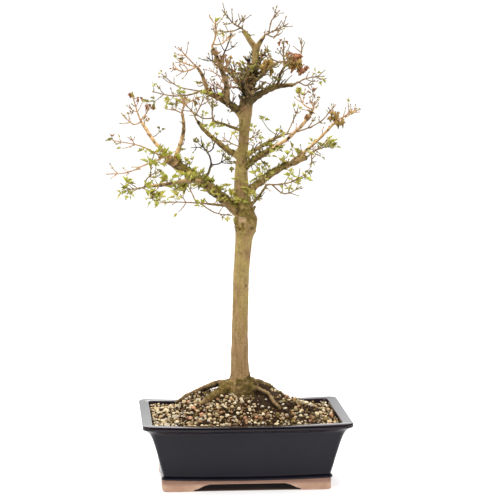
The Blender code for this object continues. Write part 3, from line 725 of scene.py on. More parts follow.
@dataclass(frozen=True)
class Stone:
    """Grains of gravel or crumbs of soil of one tint, mottled, with a grain of their own."""

    name: str
    light: Colour
    dark: Colour
    roughness: float = 0.85

    def material(self) -> Material:
        """Builds the finish.

        Returns:
            The grains' material.
        """
        paint = Painter(self.name)
        spot = paint.times(paint.mask(MOTTLE, 1100, 0.45, 0.65), 0.45)
        colour = paint.mix(paint.mask(MOTTLE, 170, 0.3, 0.7), self.dark, self.light)
        colour = paint.mix(spot, colour, self.dark)
        grain = paint.bump(paint.mask(MOTTLE, 2200, 0.3, 0.7), 0.5, 0.3)
        return paint.finish(colour, self.roughness, grain, Specular_IOR_Level=0.25)


@dataclass(frozen=True)
class Bark:
    """Bark with fibres along the limb, an olive bloom, moss, dark patches, painted shade on the undersides
    and pale healed cuts.
    """

    name: str
    light: Colour
    dark: Colour
    bloom: Colour = (184, 166, 92)
    fresh: Colour = (248, 202, 146)
    moss: Colour = (144, 120, 56)
    deep_moss: Colour = (94, 70, 28)
    shade: Colour = (32, 21, 5)
    cut: Colour = (212, 178, 140)
    fleck: Colour = (216, 200, 156)

    def material(self) -> Material:
        """Builds the finish.

        Returns:
            The bark's material.
        """
        paint = Painter(self.name)
        grain = paint.field("grain", "Vector")
        fibre = paint.mask(FIBRE, 900, 0.36, 0.64, grain)
        cloud = paint.mask(MOTTLE, 70, 0.36, 0.64)
        fine = paint.mask(MOTTLE, 620, 0.42, 0.62)
        blot = paint.mask(MOTTLE, 170, 0.38, 0.62)
        lichen = paint.inverse(paint.mask(SPECKS, 290, 0.1, 0.3))
        pores = paint.inverse(paint.mask(SPECKS, 310, 0.1, 0.3))
        moss = paint.times(paint.field("moss"), paint.between(fine, 0, 1, 1, 0.35))
        moss_tint = paint.mix(paint.mask(MOTTLE, 260, 0.4, 0.62), self.moss, self.deep_moss)
        colour = paint.coated(
            paint.mix(paint.mask(FIBRE, 240, 0.35, 0.65, grain), self.dark, self.light),
            (paint.times(fibre, 0.4), self.dark),
            (paint.times(blot, 0.55), self.dark),
            (paint.times(paint.field("bloom"), paint.between(cloud, 0, 1, 0.35, 1)), self.bloom),
            (paint.field("fresh"), self.fresh),
            (paint.times(lichen, paint.between(blot, 0, 1, 0.05, 0.45)), self.fleck),
            (paint.times(pores, 0.5), self.deep_moss),
            (paint.between(moss, 0.06, 0.5, 0, 0.94), moss_tint),
            (paint.field("cut"), self.cut),
            # Shade coat: random dark patches, a darker trunk foot, whorl, knots and bough feet, and painted
            # shade on the undersides of roots and boughs
            (paint.times(paint.field("shade"), paint.between(cloud, 0, 1, 0.6, 1)), self.shade),
        )
        rough = paint.bump(fine, 0.4, 0.5, paint.bump(fibre, 0.35, 0.4))
        return paint.finish(colour, paint.between(cloud, 0, 1, 0.68, 0.88), rough, Specular_IOR_Level=0.3)


@dataclass(frozen=True)
class Shootskin:
    """The smooth skin of young twigs, buds, leaves or moss: one tint with a fine mottle."""

    name: str
    light: Colour
    dark: Colour
    roughness: float = 0.6
    scale: float = 260.0

    def material(self) -> Material:
        """Builds the finish.

        Returns:
            The skin's material.
        """
        paint = Painter(self.name)
        fine = paint.mask(MOTTLE, self.scale * 6, 0.4, 0.6)
        colour = paint.mix(paint.mask(MOTTLE, self.scale, 0.35, 0.65), self.dark, self.light)
        colour = paint.mix(paint.times(fine, 0.3), colour, self.dark)
        return paint.finish(colour, self.roughness, paint.bump(fine, 0.3, 0.2), Specular_IOR_Level=0.35)


def add_object(name: str, data: bpy.types.ID) -> bpy.types.Object:
    """Makes an object with this data and links it to the scene.

    Args:
        name: The object's name.
        data: Its mesh, curve, light or camera.

    Returns:
        The new object.
    """
    obj = bpy.data.objects.new(name, data)
    bpy.context.scene.collection.objects.link(obj)
    return obj


def melted(obj: bpy.types.Object) -> BMesh:
    """Reads an object's final mesh, and removes the object.

    Args:
        obj: The object, with its modifiers.

    Returns:
        Its mesh.
    """
    mesh = bpy.data.meshes.new_from_object(obj.evaluated_get(bpy.context.evaluated_depsgraph_get()))
    bpy.data.objects.remove(obj, do_unlink=True)
    bm = bmesh.new()
    bm.from_mesh(mesh)
    bpy.data.meshes.remove(mesh)
    return bm


def coated_object(name: str, mesh: bpy.types.Mesh, paint: Material) -> bpy.types.Object:
    """Makes a smooth-shaded object of a mesh.

    Args:
        name: The piece's name.
        mesh: Its mesh.
        paint: Its material.

    Returns:
        The new object.
    """
    mesh.materials.append(paint)
    mesh.shade_smooth()
    return add_object(name, mesh)


def mesh_object(name: str, bm: BMesh, paint: Material) -> bpy.types.Object:
    """Makes an object of a bmesh, set over by the plan's offset.

    Args:
        name: The piece's name.
        bm: Its shape, which is freed.
        paint: Its material.

    Returns:
        The new object, shaded smooth.
    """
    bmesh.ops.translate(bm, verts=bm.verts, vec=PLAN_OFFSET)
    mesh = bpy.data.meshes.new(name)
    bm.to_mesh(mesh)
    bm.free()
    return coated_object(name, mesh, paint)


def settle(obj: bpy.types.Object, slot: str, *nodes: str) -> None:
    """Hands a finished piece to the frame.

    Args:
        obj: The piece.
        slot: Not used.
        nodes: The nodes that it stands for.
    """
    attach(obj, BODY)
    if nodes:
        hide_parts(*nodes)
    LOG.info("%s: %d faces", obj.name, len(obj.data.polygons))


def tubes_skin(name: str, tubes: Iterable[Tube], roundness: int) -> BMesh:
    """Makes one skin of closed tubes by a bevelled curve with filled caps.

    Args:
        name: The curve's name.
        tubes: The tubes.
        roundness: The bevel's resolution.

    Returns:
        The skin, with its doubles merged and its faces turned outwards.
    """
    curve = bpy.data.curves.new(name, "CURVE")
    curve.dimensions = "3D"
    curve.use_fill_caps = True
    curve.bevel_depth = 1.0
    curve.bevel_resolution = roundness
    for tube in tubes:
        spline = curve.splines.new("POLY")
        spline.points.add(len(tube.points) - 1)
        for control, point, radius in zip(spline.points, tube.points, tube.radii):
            control.co = (*point, 1)
            control.radius = radius
    bm = melted(add_object(f"{name}_line", curve))
    bpy.data.curves.remove(curve)
    bmesh.ops.remove_doubles(bm, verts=bm.verts, dist=DOUBLES)
    bmesh.ops.recalc_face_normals(bm, faces=bm.faces)
    return bm


class Shape(NamedTuple):
    """A small shape to be copied many times: its points as rows and its faces as point numbers."""

    points: np.ndarray
    faces: list[tuple[int, ...]]


def face_outwards(bm: BMesh) -> None:
    """Turns the faces of one closed form outwards.

    Args:
        bm: The form.
    """
    bmesh.ops.recalc_face_normals(bm, faces=bm.faces)
    if bm.calc_volume(signed=True) < 0:
        bmesh.ops.reverse_faces(bm, faces=bm.faces)


def shape_of(bm: BMesh) -> Shape:
    """Reads a small shape from a bmesh, which is freed.

    Args:
        bm: The bmesh.

    Returns:
        The shape.
    """
    bm.verts.index_update()
    faces = [tuple(vert.index for vert in face.verts) for face in bm.faces]
    made = Shape(np.array([tuple(vert.co) for vert in bm.verts]), faces)
    bm.free()
    return made


def joined(name: str, copies: Sequence[tuple[Shape, Matrix]], paint: Material) -> bpy.types.Object:
    """Joins copies of small shapes into one piece.

    Args:
        name: The piece's name.
        copies: Each copy's shape and its place.
        paint: The piece's material.

    Returns:
        The new object.
    """
    rows: list[np.ndarray] = []
    faces: list[tuple[int, ...]] = []
    count = 0
    for shape, place in copies:
        turn = np.array(place)
        rows.append(shape.points @ turn[:3, :3].T + turn[:3, 3] + np.array(PLAN_OFFSET))
        faces += [tuple(i + count for i in face) for face in shape.faces]
        count += len(shape.points)
    mesh = bpy.data.meshes.new(name)
    mesh.from_pydata(np.concatenate(rows), [], faces)
    return coated_object(name, mesh, paint)


def frame_along(way: Vector, up: Vector) -> Matrix:
    """A turn that points Z along a way.

    Args:
        way: The way.
        up: What Y turns to as near as it can.

    Returns:
        The turn.
    """
    across = up.cross(way)
    across = (across if across.length > 1e-4 else way.orthogonal()).normalized()
    return Matrix((across, way.cross(across), way)).transposed().to_4x4()


@dataclass
class Pot:
    """The glazed pot: a shell with a flat rim, a rolled lip, a coved neck, leaning walls and a low ledge."""

    half_width: float = 150.0
    half_depth: float = 110.0
    corner: float = 13.0
    tightening: float = 0.38
    tightest: float = 5.0
    bow: float = 1.5
    sag: float = 2.4
    sag_heights: Pair = (24.0, 60.0)
    lift: float = 3.0
    lift_from: float = 80.0
    corner_steps: int = 10
    side_steps: int = 8
    arc_steps: int = 5
    outside: tuple[tuple[float, float, float], ...] = (
        (29.4, 17.3, 0), (27.5, 17.9, 1.6), (27.4, 20.8, 2.4), (30.0, 23.0, 0.9), (27.2, 33.0, 20),
        (22.6, 51.0, 30), (18.3, 67.0, 30), (13.6, 81.0, 16), (9.8, 87.5, 7), (3.4, 91.6, 2.4),
        (0.1, 92.6, 1.6), (0.0, 98.2, 1.9), (14.6, 98.4, 1.3), (16.6, 90.0, 0),
    )
    inside: tuple[tuple[float, float, float], ...] = ((33.0, 32.0, 0), (38.0, 27.0, 0))
    thin_edges: tuple[Pair, ...] = ((92.4, 1.6), (98.6, 1.4))

    @staticmethod
    def edge_share(height: float, middle: float, reach: float) -> float:
        """How near a height lies to an edge that the glaze has run off, from 0 to 1."""
        return 1 - ramp(abs(height - middle), 0, reach)

    def profile(self) -> list[Pair]:
        """Rounds the profile's corners.

        Returns:
            Its points as inset and height in mm.
        """
        corners = [Vector(row) for row in self.outside + self.inside]
        points = [(corners[0].x, corners[0].y)]
        for before, here, after in zip(corners, corners[1:], corners[2:]):
            at = here.to_2d()
            back = before.to_2d() - at
            ahead = after.to_2d() - at
            reach = min(here.z, back.length * 0.45, ahead.length * 0.45)
            first = at + back.normalized() * reach
            last = at + ahead.normalized() * reach
            for step in range(self.arc_steps + 1 if reach else 1):
                t = step / self.arc_steps
                points.append(tuple(first.lerp(at, t).lerp(at.lerp(last, t), t)))
        return points + [(corners[-1].x, corners[-1].y)]

    def outline(self, inset: float, height: float) -> Line:
        """The shell's outline at one level.

        Args:
            inset: How far it stands in from the rim, in mm.
            height: Its height in mm.

        Returns:
            Its points.
        """
        corner = max(self.tightest, self.corner - self.tightening * inset)
        wide, deep = self.half_width - inset, self.half_depth - inset
        bow = self.bow * max(0.0, 1 - inset / self.outside[-2][0])
        ring = []
        for turn, (sx, sy) in enumerate(((1, 1), (-1, 1), (-1, -1), (1, -1))):
            for step in range(self.corner_steps + 1):
                angle = math.radians(90 * (turn + step / self.corner_steps))
                x = sx * (wide - corner) + corner * math.cos(angle)
                ring.append((x, sy * (deep - corner) + corner * math.sin(angle), height))
            if turn % 2 == 0:
                for step in range(1, self.side_steps):
                    share = 1 - 2 * step / self.side_steps
                    out = deep + bow * (1 - share * share)
                    ring.append((share * (wide - corner) * sx, sy * out, height))
        lift = self.lift * max(0.0, height - self.lift_from) / (self.outside[-2][1] - self.lift_from)
        sag = self.sag * (1 - ramp(height, *self.sag_heights))
        far = self.half_width * self.half_depth
        raised = []
        for x, y, z in ring:
            z = z + lift * (abs(x * y) / far) ** 3 - sag * max(0.0, 1 - (x / wide) ** 2)
            raised.append(Vector((x, y, z)) * MM)
        return raised

    def build(self) -> None:
        """Makes the shell by extruding its outline from ring to ring, and dresses it."""
        rings = [self.outline(inset, height) for inset, height in self.profile()]
        bm = bmesh.new()
        place = bm.verts.layers.int.new("place")
        count = len(rings[0])
        row = [bm.verts.new(point) for point in rings[0]]
        for number, vert in enumerate(row):
            vert[place] = number
        bm.faces.new(row)
        edges = [bm.edges.get((row[i], row[(i + 1) % count])) for i in range(count)]
        for ring in rings[1:]:
            grown = bmesh.ops.extrude_edge_only(bm, edges=edges)["geom"]
            fresh = {item for item in grown if isinstance(item, bmesh.types.BMVert)}
            for vert in fresh:
                vert.co = ring[vert[place]]
            edges = [e for e in grown if isinstance(e, bmesh.types.BMEdge) and set(e.verts) <= fresh]
        bmesh.ops.holes_fill(bm, edges=edges, sides=0)
        bmesh.ops.recalc_face_normals(bm, faces=bm.faces)
        thin = bm.verts.layers.float.new("thin_glaze")
        for vert in bm.verts:
            height = vert.co.z / MM
            vert[thin] = max(self.edge_share(height, *edge) for edge in self.thin_edges)
        shell = mesh_object("glazed_shell", bm, Glaze().material())
        settle(shell, "glaze", "pot_body")


class Grains(NamedTuple):
    """One layer of gravel: how many places are tried, the sizes, where the tops stand and how close they lie.

    Shares are those of the tints, and a layer that fills lies on the bare spots too.
    """

    tries: int
    least: float
    most: float
    top: float
    stray: float
    closeness: float
    shares: tuple[float, ...]
    fills: bool = False


@dataclass
class Mound:
    """The dark soil of the mound, and the gravel that covers it."""

    edge: float = 95.2
    rise: float = 40.0
    half_width: float = 150.0
    half_depth: float = 115.0
    top: float = 128.0
    inside_width: float = 134.3
    inside_depth: float = 94.3
    inside_corner: float = 9.0
    heap_rise: float = 3.6
    heap_fade: float = 0.15
    heap_waves: tuple[tuple[float, float, float], ...] = (
        (0.152, 0.024, 0.4), (-0.062, 0.135, 1.9), (0.088, -0.112, 4.2),
    )
    shoulders: tuple[tuple[float, float, float, float], ...] = (
        (-60, 12, 34, 9.0), (-24, -14, 22, 4.0), (30, 4, 36, 4.5), (28, 2, 22, 13.5),
    )
    spot_place: Pair = (26.0, -24.0)
    spot_reach: Pair = (33.0, 38.0)
    spot_fade: Pair = (0.66, 1.0)
    spot_bareness: float = 0.975
    foot_side: float = -4.0
    foot_fade: Pair = (16.0, 27.0)
    sunk: float = 3.4
    sunk_less: float = 0.7
    crumb: float = 4.5
    crumb_height: float = 1.1
    floor: float = 86.0
    floor_width: float = 131.4
    floor_depth: float = 91.4
    cells: tuple[int, int] = (150, 108)
    gravel_seed: int = 311
    shapes: int = 24
    facets: tuple[int, int] = (13, 19)
    facet_angle: float = 32.0
    cell: float = 9.0
    clump: float = 8.0
    clump_bounds: Pair = (0.31, 0.46)
    thinner: float = 0.13
    thinner_from: Pair = (10.0, 60.0)
    duller: float = 2.2
    duller_from: Pair = (5.0, 60.0)
    wall_room: float = 0.42
    root_room: float = 0.4
    bedded: float = 0.36
    tilt: float = 0.7
    moss_seed: int = 71
    moss_tries: int = 1800
    moss_area: tuple[Pair, Pair] = ((-12.0, 62.0), (-56.0, 18.0))
    moss_patch: float = 6.0
    moss_bareness: float = 0.3
    kept_off: list[Tube] = field(default_factory=list)

    def height(self, x: float, y: float) -> float:
        """The gravel's top before it is heaped up against the roots.

        Args:
            x: The place across the pot, in mm.
            y: The place along its depth, in mm.

        Returns:
            The height in mm.
        """
        away = (x / self.half_width) ** 2 + (y / self.half_depth) ** 2
        out = max(abs(x) / self.inside_width, abs(y) / self.inside_depth)
        fade = min(1.0, max(0.0, 1 - out) / self.heap_fade)
        waves = [math.sin(along * x + across * y + start) for along, across, start in self.heap_waves]
        heap = self.heap_rise * fade * sum(waves) / len(waves)
        return min(self.edge + self.rise * max(0.0, 1 - away) ** 2 + heap, self.top)

    def heaped(self, x: float, y: float) -> float:
        """The height with the gravel and soil that lie up against the roots, in mm."""
        shares = [(rise, ramp(math.hypot(x - a, y - b), 0, reach)) for a, b, reach, rise in self.shoulders]
        return self.height(x, y) + max(rise * (1 - share) for rise, share in shares)

    def depth(self, x: float, y: float) -> float:
        """How far the soil lies below the gravel's top at a place, in mm."""
        return self.sunk * (1 - self.sunk_less * self.bare(x, y))

    def inside(self, x: float, y: float, margin: float) -> bool:
        """Whether a place in the plan lies inside the pot's wall by the margin, in mm."""
        return math.hypot(*self.past_corner(x, y)) <= self.inside_corner - margin

    def past_corner(self, x: float, y: float) -> Pair:
        """How far a place lies past the middle of its rounded corner, both ways, in mm."""
        middle = (self.inside_width - self.inside_corner, self.inside_depth - self.inside_corner)
        return max(0.0, abs(x) - middle[0]), max(0.0, abs(y) - middle[1])

    def bare(self, x: float, y: float) -> float:
        """How bare of gravel the soil lies: most so to the right of the trunk's foot.

        Args:
            x: The place across the pot, in mm.
            y: The place along its depth, in mm.

        Returns:
            The bareness from 0 to 1.
        """
        away = [(at - middle) / reach for at, middle, reach in zip((x, y), self.spot_place, self.spot_reach)]
        spot = 1 - ramp(math.hypot(*away), *self.spot_fade)
        foot = 1 - ramp(math.hypot(x - self.foot_side, y), *self.foot_fade)
        return max(spot * self.spot_bareness, foot)

    def clear(self, x: float, y: float, margin: float) -> bool:
        """Whether a place in the plan lies beside every root.

        Args:
            x: The place across the pot, in mm.
            y: The place along its depth, in mm.
            margin: The room that it needs, in mm.

        Returns:
            True if no root comes nearer.
        """
        place = Vector((x, y)) * MM
        for tube in self.kept_off:
            for point, radius in zip(tube.points, tube.radii):
                if (point.to_2d() - place).length < radius * 0.8 + margin * MM:
                    return False
        return True

    def soil(self) -> None:
        """Makes the soil as a bumpy grid drawn in to the pot's rounded corners, closed below."""
        bm = bmesh.new()
        bmesh.ops.create_grid(bm, x_segments=self.cells[0], y_segments=self.cells[1], size=1.0)
        corner = self.inside_corner
        for vert in bm.verts:
            x, y = vert.co.x * self.inside_width, vert.co.y * self.inside_depth
            over = Vector(self.past_corner(x, y))
            if over.x > 0 and over.y > 0:
                pulled = over * (max(over) / over.length)
                x = math.copysign(self.inside_width - corner + pulled.x, x)
                y = math.copysign(self.inside_depth - corner + pulled.y, y)
            rough = noise.fractal(Vector((x, y, 3.1)) / self.crumb, 0.9, 2.0, 3) * self.crumb_height
            vert.co = Vector((x, y, self.heaped(x, y) + rough - self.depth(x, y))) * MM
        rim = [edge for edge in bm.edges if edge.is_boundary]
        grown = bmesh.ops.extrude_edge_only(bm, edges=rim)["geom"]
        drawn_in = Vector((self.floor_width / self.inside_width, self.floor_depth / self.inside_depth))
        for vert in {item for item in grown if isinstance(item, bmesh.types.BMVert)}:
            vert.co = Vector((vert.co.x * drawn_in.x, vert.co.y * drawn_in.y, self.floor * MM))
        bmesh.ops.holes_fill(bm, edges=[e for e in bm.edges if e.is_boundary], sides=0)
        bmesh.ops.recalc_face_normals(bm, faces=bm.faces)
        settle(mesh_object("dark_soil", bm, SOIL.material()), "gravel", "soil")

    def grain_shape(self, rng: Rng) -> Shape:
        """One grain: the hull of points knocked about on a flattened ball about a unit across.

        Args:
            rng: The source of its form.

        Returns:
            The grain.
        """
        bm = bmesh.new()
        stretch = Vector((1.0, rng.uniform(0.72, 0.95), rng.uniform(0.58, 0.82))) / 2
        for _ in range(rng.randint(*self.facets)):
            way = Vector([rng.gauss(0, 1) for _ in range(3)]).normalized() * rng.uniform(0.86, 1.06)
            bm.verts.new([part * size for part, size in zip(way, stretch)])
        made = bmesh.ops.convex_hull(bm, input=bm.verts)
        spare = made["geom_unused"] + made["geom_interior"]
        inner = {item for item in spare if isinstance(item, bmesh.types.BMVert)}
        bmesh.ops.delete(bm, geom=list(inner), context="VERTS")
        face_outwards(bm)
        return shape_of(bm)

    def scatter(self, layer: Grains, taken: dict, rng: Rng) -> Iterator[tuple[float, float, float]]:
        """Scatters a layer's grains without crowding those that lie there.

        Args:
            layer: The layer.
            taken: The grains that lie there, by cell.
            rng: The source of the places.

        Yields:
            The places as x, y and size in mm.
        """
        for _ in range(layer.tries):
            x = rng.uniform(-self.inside_width, self.inside_width)
            y = rng.uniform(-self.inside_depth, self.inside_depth)
            size = rng.uniform(layer.least, layer.most)
            clump = noise.noise(Vector((x, y, 2)) / self.clump) * 0.5 + 0.5
            thinned = clump - self.thinner * ramp(x, *self.thinner_from)
            wanted = (1 - self.bare(x, y)) * ramp(thinned, *self.clump_bounds)
            if rng.random() > max(wanted, float(layer.fills)):
                continue
            if not self.inside(x, y, size * self.wall_room) or not self.clear(x, y, size * self.root_room):
                continue
            home = (math.floor(x / self.cell), math.floor(y / self.cell))
            cells = [(home[0] + i, home[1] + j) for i in (-1, 0, 1) for j in (-1, 0, 1)]
            near = [grain for cell in cells for grain in taken.get(cell, ())]
            room = layer.closeness / 2
            if any(math.hypot(x - a, y - b) < (size + other) * room for a, b, other in near):
                continue
            taken.setdefault(home, []).append((x, y, size))
            yield x, y, size

    def gravel(self) -> None:
        """Lays the gravel in seven tints: dark grains below, then pale ones from the largest down."""
        rng = Rng(self.gravel_seed)
        shapes = [self.grain_shape(rng) for _ in range(self.shapes)]
        copies: dict[Stone, list[tuple[Shape, Matrix]]] = {stone: [] for stone in GRAVEL_TINTS}
        taken: dict[tuple[int, int], list[tuple[float, float, float]]] = {}
        for layer in GRAVEL_LAYERS:
            for x, y, size in self.scatter(layer, {} if layer.fills else taken, rng):
                stray = rng.uniform(-layer.stray, layer.stray)
                z = self.heaped(x, y) + layer.top + stray - size * self.bedded
                turn = Matrix.Rotation(rng.uniform(0, math.tau), 4, "Z")
                turn = turn @ Matrix.Rotation(rng.uniform(-self.tilt, self.tilt), 4, "X")
                place = Matrix.Translation(Vector((x, y, z)) * MM) @ turn @ Matrix.Scale(size * MM, 4)
                dull = 1 + self.duller * ramp(x, *self.duller_from)
                lifts = [dull if stone.name in DULL_TINTS else 1 for stone in GRAVEL_TINTS]
                shares = [share * lift for share, lift in zip(layer.shares, lifts)]
                copies[rng.choices(GRAVEL_TINTS, shares)[0]].append((rng.choice(shapes), place))
        for stone, grains in copies.items():
            piece = joined(f"gravel_{stone.name}", grains, stone.material())
            piece.data.set_sharp_from_angle(angle=math.radians(self.facet_angle))
            settle(piece, "gravel")

    def mossy(self) -> Mossy:
        """Finds where moss grows on the bare soil.

        Returns:
            The places, with the way up.
        """
        rng = Rng(self.moss_seed)
        made = []
        for _ in range(self.moss_tries):
            x, y = [rng.uniform(*bounds) for bounds in self.moss_area]
            patch = noise.noise(Vector((x, y, 5)) / self.moss_patch) * 0.5 + 0.5
            if self.bare(x, y) > self.moss_bareness and patch > 0.5 and self.clear(x, y, 0.5):
                made.append((Vector((x, y, self.heaped(x, y) - self.depth(x, y))) * MM, Vector((0, 0, 1))))
        return made


SOIL = Stone("dark_soil", (66, 42, 14), (24, 14, 4), 0.95)
GRAVEL_TINTS = (
    Stone("cream", (252, 238, 204), (214, 192, 152)),
    Stone("beige", (232, 208, 164), (186, 158, 114)),
    Stone("tan", (204, 162, 118), (146, 110, 72)),
    Stone("olive_brown", (160, 136, 84), (112, 92, 50)),
    Stone("pale_grey", (228, 216, 194), (178, 162, 136)),
    Stone("orange_pink", (232, 182, 146), (188, 130, 92)),
    Stone("dark_crumbs", (86, 58, 32), (44, 26, 12)),
)
DULL_TINTS = ("olive_brown", "dark_crumbs")
GRAVEL_LAYERS = (
    Grains(7000, 2.6, 5.6, -1.7, 0.8, 0.76, (1, 2, 6, 22, 2, 2, 65), True),
    Grains(1300, 6.6, 9.6, 1.6, 1.2, 0.84, (34, 26, 11, 8, 14, 4, 3)),
    Grains(5200, 4.4, 6.6, 0.8, 1.3, 0.82, (28, 24, 14, 12, 12, 4, 6)),
    Grains(16000, 2.0, 4.0, 0.2, 1.2, 0.78, (16, 20, 18, 17, 10, 3, 16)),
)


@dataclass
class Wood:
    """The trunk with its flare and surface roots, and the boughs: meshes with the bark's relief."""

    growth: Growth
    mound: Mound
    trunk_voxel: float = 1.0
    bough_voxel: float = 0.7
    bough_relief: float = 0.9
    roundness: int = 6
    smoothings: int = 2
    line_steps: int = 6
    root_steps: int = 5
    root_seed: int = 60
    root_stray: float = 0.5
    root_swell: Pair = (0.9, 1.12)
    collar_swell: float = 1.5
    collar_end: float = 0.92
    collar_least: float = 12.0
    collar_steps: int = 5
    stub_seed: int = 517
    stub_steps: int = 4
    stub_rises: Pair = (-30.0, 70.0)
    full_relief: float = 9.0
    full_root_relief: float = 4.5
    knobs: Pair = (0.3, 0.75)
    flutes: float = 0.2
    fuzz: float = 0.6
    scar_radius: float = 11.0
    fine_tubes: dict[str, Tube] = field(default_factory=dict)

    def root(self, rows: Sequence[tuple[float, ...]], number: int) -> Tube:
        """A surface root with small swellings and turns.

        Args:
            rows: Its points as x, y, z and diameter in mm.
            number: Which root it is.

        Returns:
            Its tube.
        """
        rng = Rng(self.root_seed + number)
        coarse = Tube([Vector(row[:3]) * MM for row in rows], [row[3] / 2 * MM for row in rows])
        fine = flowing(coarse, self.root_steps)
        shaken = [point + strayed(rng, self.root_stray) * MM for point in fine.points]
        return Tube(shaken, [radius * rng.uniform(*self.root_swell) for radius in fine.radii])

    def collars(self, carriers: set[str]) -> list[Tube]:
        """Swollen feet of boughs, each fading out along its bough.

        Args:
            carriers: The limbs whose boughs get one.

        Returns:
            The collars.
        """
        made = []
        for bough in BOUGHS:
            if bough.carrier not in carriers:
                continue
            carrier = self.growth.tubes[bough.carrier]
            thick = carrier.radii[0] if bough.carrier != "trunk" else self.collar_least * MM
            reach = max(thick, bough.base * MM) * 1.5
            shares = [step / self.collar_steps for step in range(self.collar_steps + 1)]
            line = self.fine_tubes[bough.name].points
            points = [place_on(line, reach * share)[0] for share in shares]
            fall = self.collar_end - self.collar_swell
            radii = [bough.base / 2 * MM * (self.collar_swell + fall * share**0.7) for share in shares]
            made.append(Tube(points, radii))
        return made

    def stubs(self, names: Iterable[str]) -> list[Tube]:
        """Short gnarled stubs: close together at the whorl, and knobs along the thick boughs.

        Args:
            names: The limbs that they stand on.

        Returns:
            The stubs.
        """
        made = []
        shares = [step / self.stub_steps for step in range(self.stub_steps + 1)]
        for row in [row for row in STUBS if row.limb in names]:
            rng = Rng(f"{self.stub_seed} {row.limb} {row.first}")
            line = self.fine_tubes[row.limb].points
            for _ in range(row.count):
                foot, along = place_on(line, rng.uniform(row.first, row.last) * MM)
                way = heading(rng.uniform(-180, 180), rng.uniform(*self.stub_rises))
                way = (way + along * 0.3).normalized()
                bend = strayed(rng, 0.7) + Vector((0, 0, 0.3))
                length = (row.core + row.longest * rng.uniform(0.25, 1.0) ** 1.5) * MM
                points = [foot + (way * share + bend * share * share * 0.5) * length for share in shares]
                thick = row.thick * rng.uniform(0.7, 1.2) / 2 * MM
                made.append(Tube(points, [thick * (1.15 - 0.55 * share) for share in shares]))
        return made

    def remeshed(self, name: str, tubes: list[Tube], voxel: float) -> BMesh:
        """Melts tubes into one skin of even faces, and smooths it.

        Args:
            name: The mesh's name.
            tubes: The tubes that are melted together.
            voxel: The faces' size in mm.

        Returns:
            The skin.
        """
        mesh = bpy.data.meshes.new(name)
        skin = tubes_skin(name, tubes, self.roundness)
        skin.to_mesh(mesh)
        skin.free()
        obj = add_object(name, mesh)
        modifier = obj.modifiers.new("melt", "REMESH")
        modifier.mode = "VOXEL"
        modifier.voxel_size = voxel * MM
        modifier.adaptivity = 0.0
        bm = melted(obj)
        axes = {f"use_axis_{axis}": True for axis in "xyz"}
        for _ in range(self.smoothings):
            bmesh.ops.smooth_vert(bm, verts=bm.verts, factor=0.5, **axes)
        return bm

    def carve(self, bm: BMesh, lines: dict[str, Tube], relief: float) -> Mossy:
        """Gives the skin its relief, and writes the values that its finish reads.

        Args:
            bm: The skin.
            lines: The limbs in it, by name.
            relief: The depth of the relief as a share of the trunk's.

        Returns:
            The places where moss grows thick, with the skin's direction there.
        """
        bm.normal_update()
        grain = bm.verts.layers.float_vector.new("grain")
        layers = {key: bm.verts.layers.float.new(key) for key in MARKS}
        rows = []
        for name, tube in lines.items():
            covered = 0.0
            side = (tube.points[1] - tube.points[0]).orthogonal().normalized()
            for a, b, radius in zip(tube.points, tube.points[1:], tube.radii):
                along = (b - a).normalized()
                side = (side - along * side.dot(along)).normalized()
                rows.append((a, along, side, covered, name, radius))
                covered += (b - a).length
        tree = tree_of(row[0] for row in rows)
        for vert in bm.verts:
            at, along, side, covered, name, radius = rows[tree.find(vert.co)[1]]
            away = vert.co - at
            local = Vector((away.dot(side), away.dot(along.cross(side)), covered + away.dot(along)))
            vert[grain] = local
            marks = self.marks(name, vert.co, vert.normal, local)
            for key, layer in layers.items():
                vert[layer] = marks[key]
            lumps = LUMPS.at(vert.co) + KNOBS.at(vert.co) * self.knobs[name != "trunk"]
            flutes = noise.noise(local * FLUTES) * self.flutes
            fuzz = FUZZ.at(vert.co) * marks["moss"] * self.fuzz
            full = self.full_root_relief if name.startswith("root") else self.full_relief
            scale = relief * min(1.0, radius / (full * MM))
            raised = lumps * scale + flutes * scale + FINE.at(vert.co) + fuzz + marks["dent"]
            vert.co += vert.normal * (raised * MM)
        bm.normal_update()
        thick = [vert for vert in bm.verts if vert[layers["moss"]] > MOSS_THICK and vert.co.z > MOSS_FLOOR]
        return [(vert.co.copy(), vert.normal.copy()) for vert in thick]

    def marks(self, name: str, at: Vector, normal: Vector, local: Vector) -> dict[str, float]:
        """The bark's marks at a place.

        Args:
            name: The limb that it lies on.
            at: The place.
            normal: The skin's direction there.
            local: The place in the limb's own measure, with the distance along it last.

        Returns:
            How mossy, bloomed, shaded, cut or fresh it is, from 0 to 1, and its dent in mm.
        """
        z, along = at.z / MM, local.z / MM
        patch, small = [wave.at(at) * 0.5 + 0.5 for wave in (PATCHES, SPOTS)]
        upward = ramp(normal.z, -0.5, 0.7)
        cut = dent = fresh = 0.0
        if name == "trunk":
            bloom = 0.1 + 0.65 * ramp(z, 180, 330) * ramp(patch, 0.2, 0.6)
            moss = sum(band(z, *row) for row in TRUNK_MOSS)
            out = ramp(math.hypot(local.x, local.y) / MM, 8.0, 11)
            shade = band(z, *WHORL_BAND) * max(ramp(patch, 0.34, 0.5), 0.9 * out)
            spots = ramp(small, 0.62, 0.78) * ramp(z, 200, 380)
            shade = max(shade, 0.5 * (1 - ramp(z, 118, 134)), 0.5 * spots)
        elif name.startswith("root"):
            amount, reach = ROOT_MOSS.get(name, (0.3, 30))
            moss = amount * (1 - ramp(along, reach * 0.6, reach * 1.4)) * (0.5 + 0.5 * upward)
            bloom = 0.7 * upward * ramp(small, 0.3, 0.6) if name == "root_1" else 0.15
            # Painted shade: roots are darker where their skin faces down
            shade = 0.6 * (1 - upward) + 0.35 * ramp(small, 0.4, 0.62) + ROOT_SHADE.get(name, 0.1)
        else:
            amount, reach = BOUGH_MOSS.get(name, (0.15, 40))
            moss = amount * upward * (1 - ramp(along, reach * 0.7, reach * 1.3))
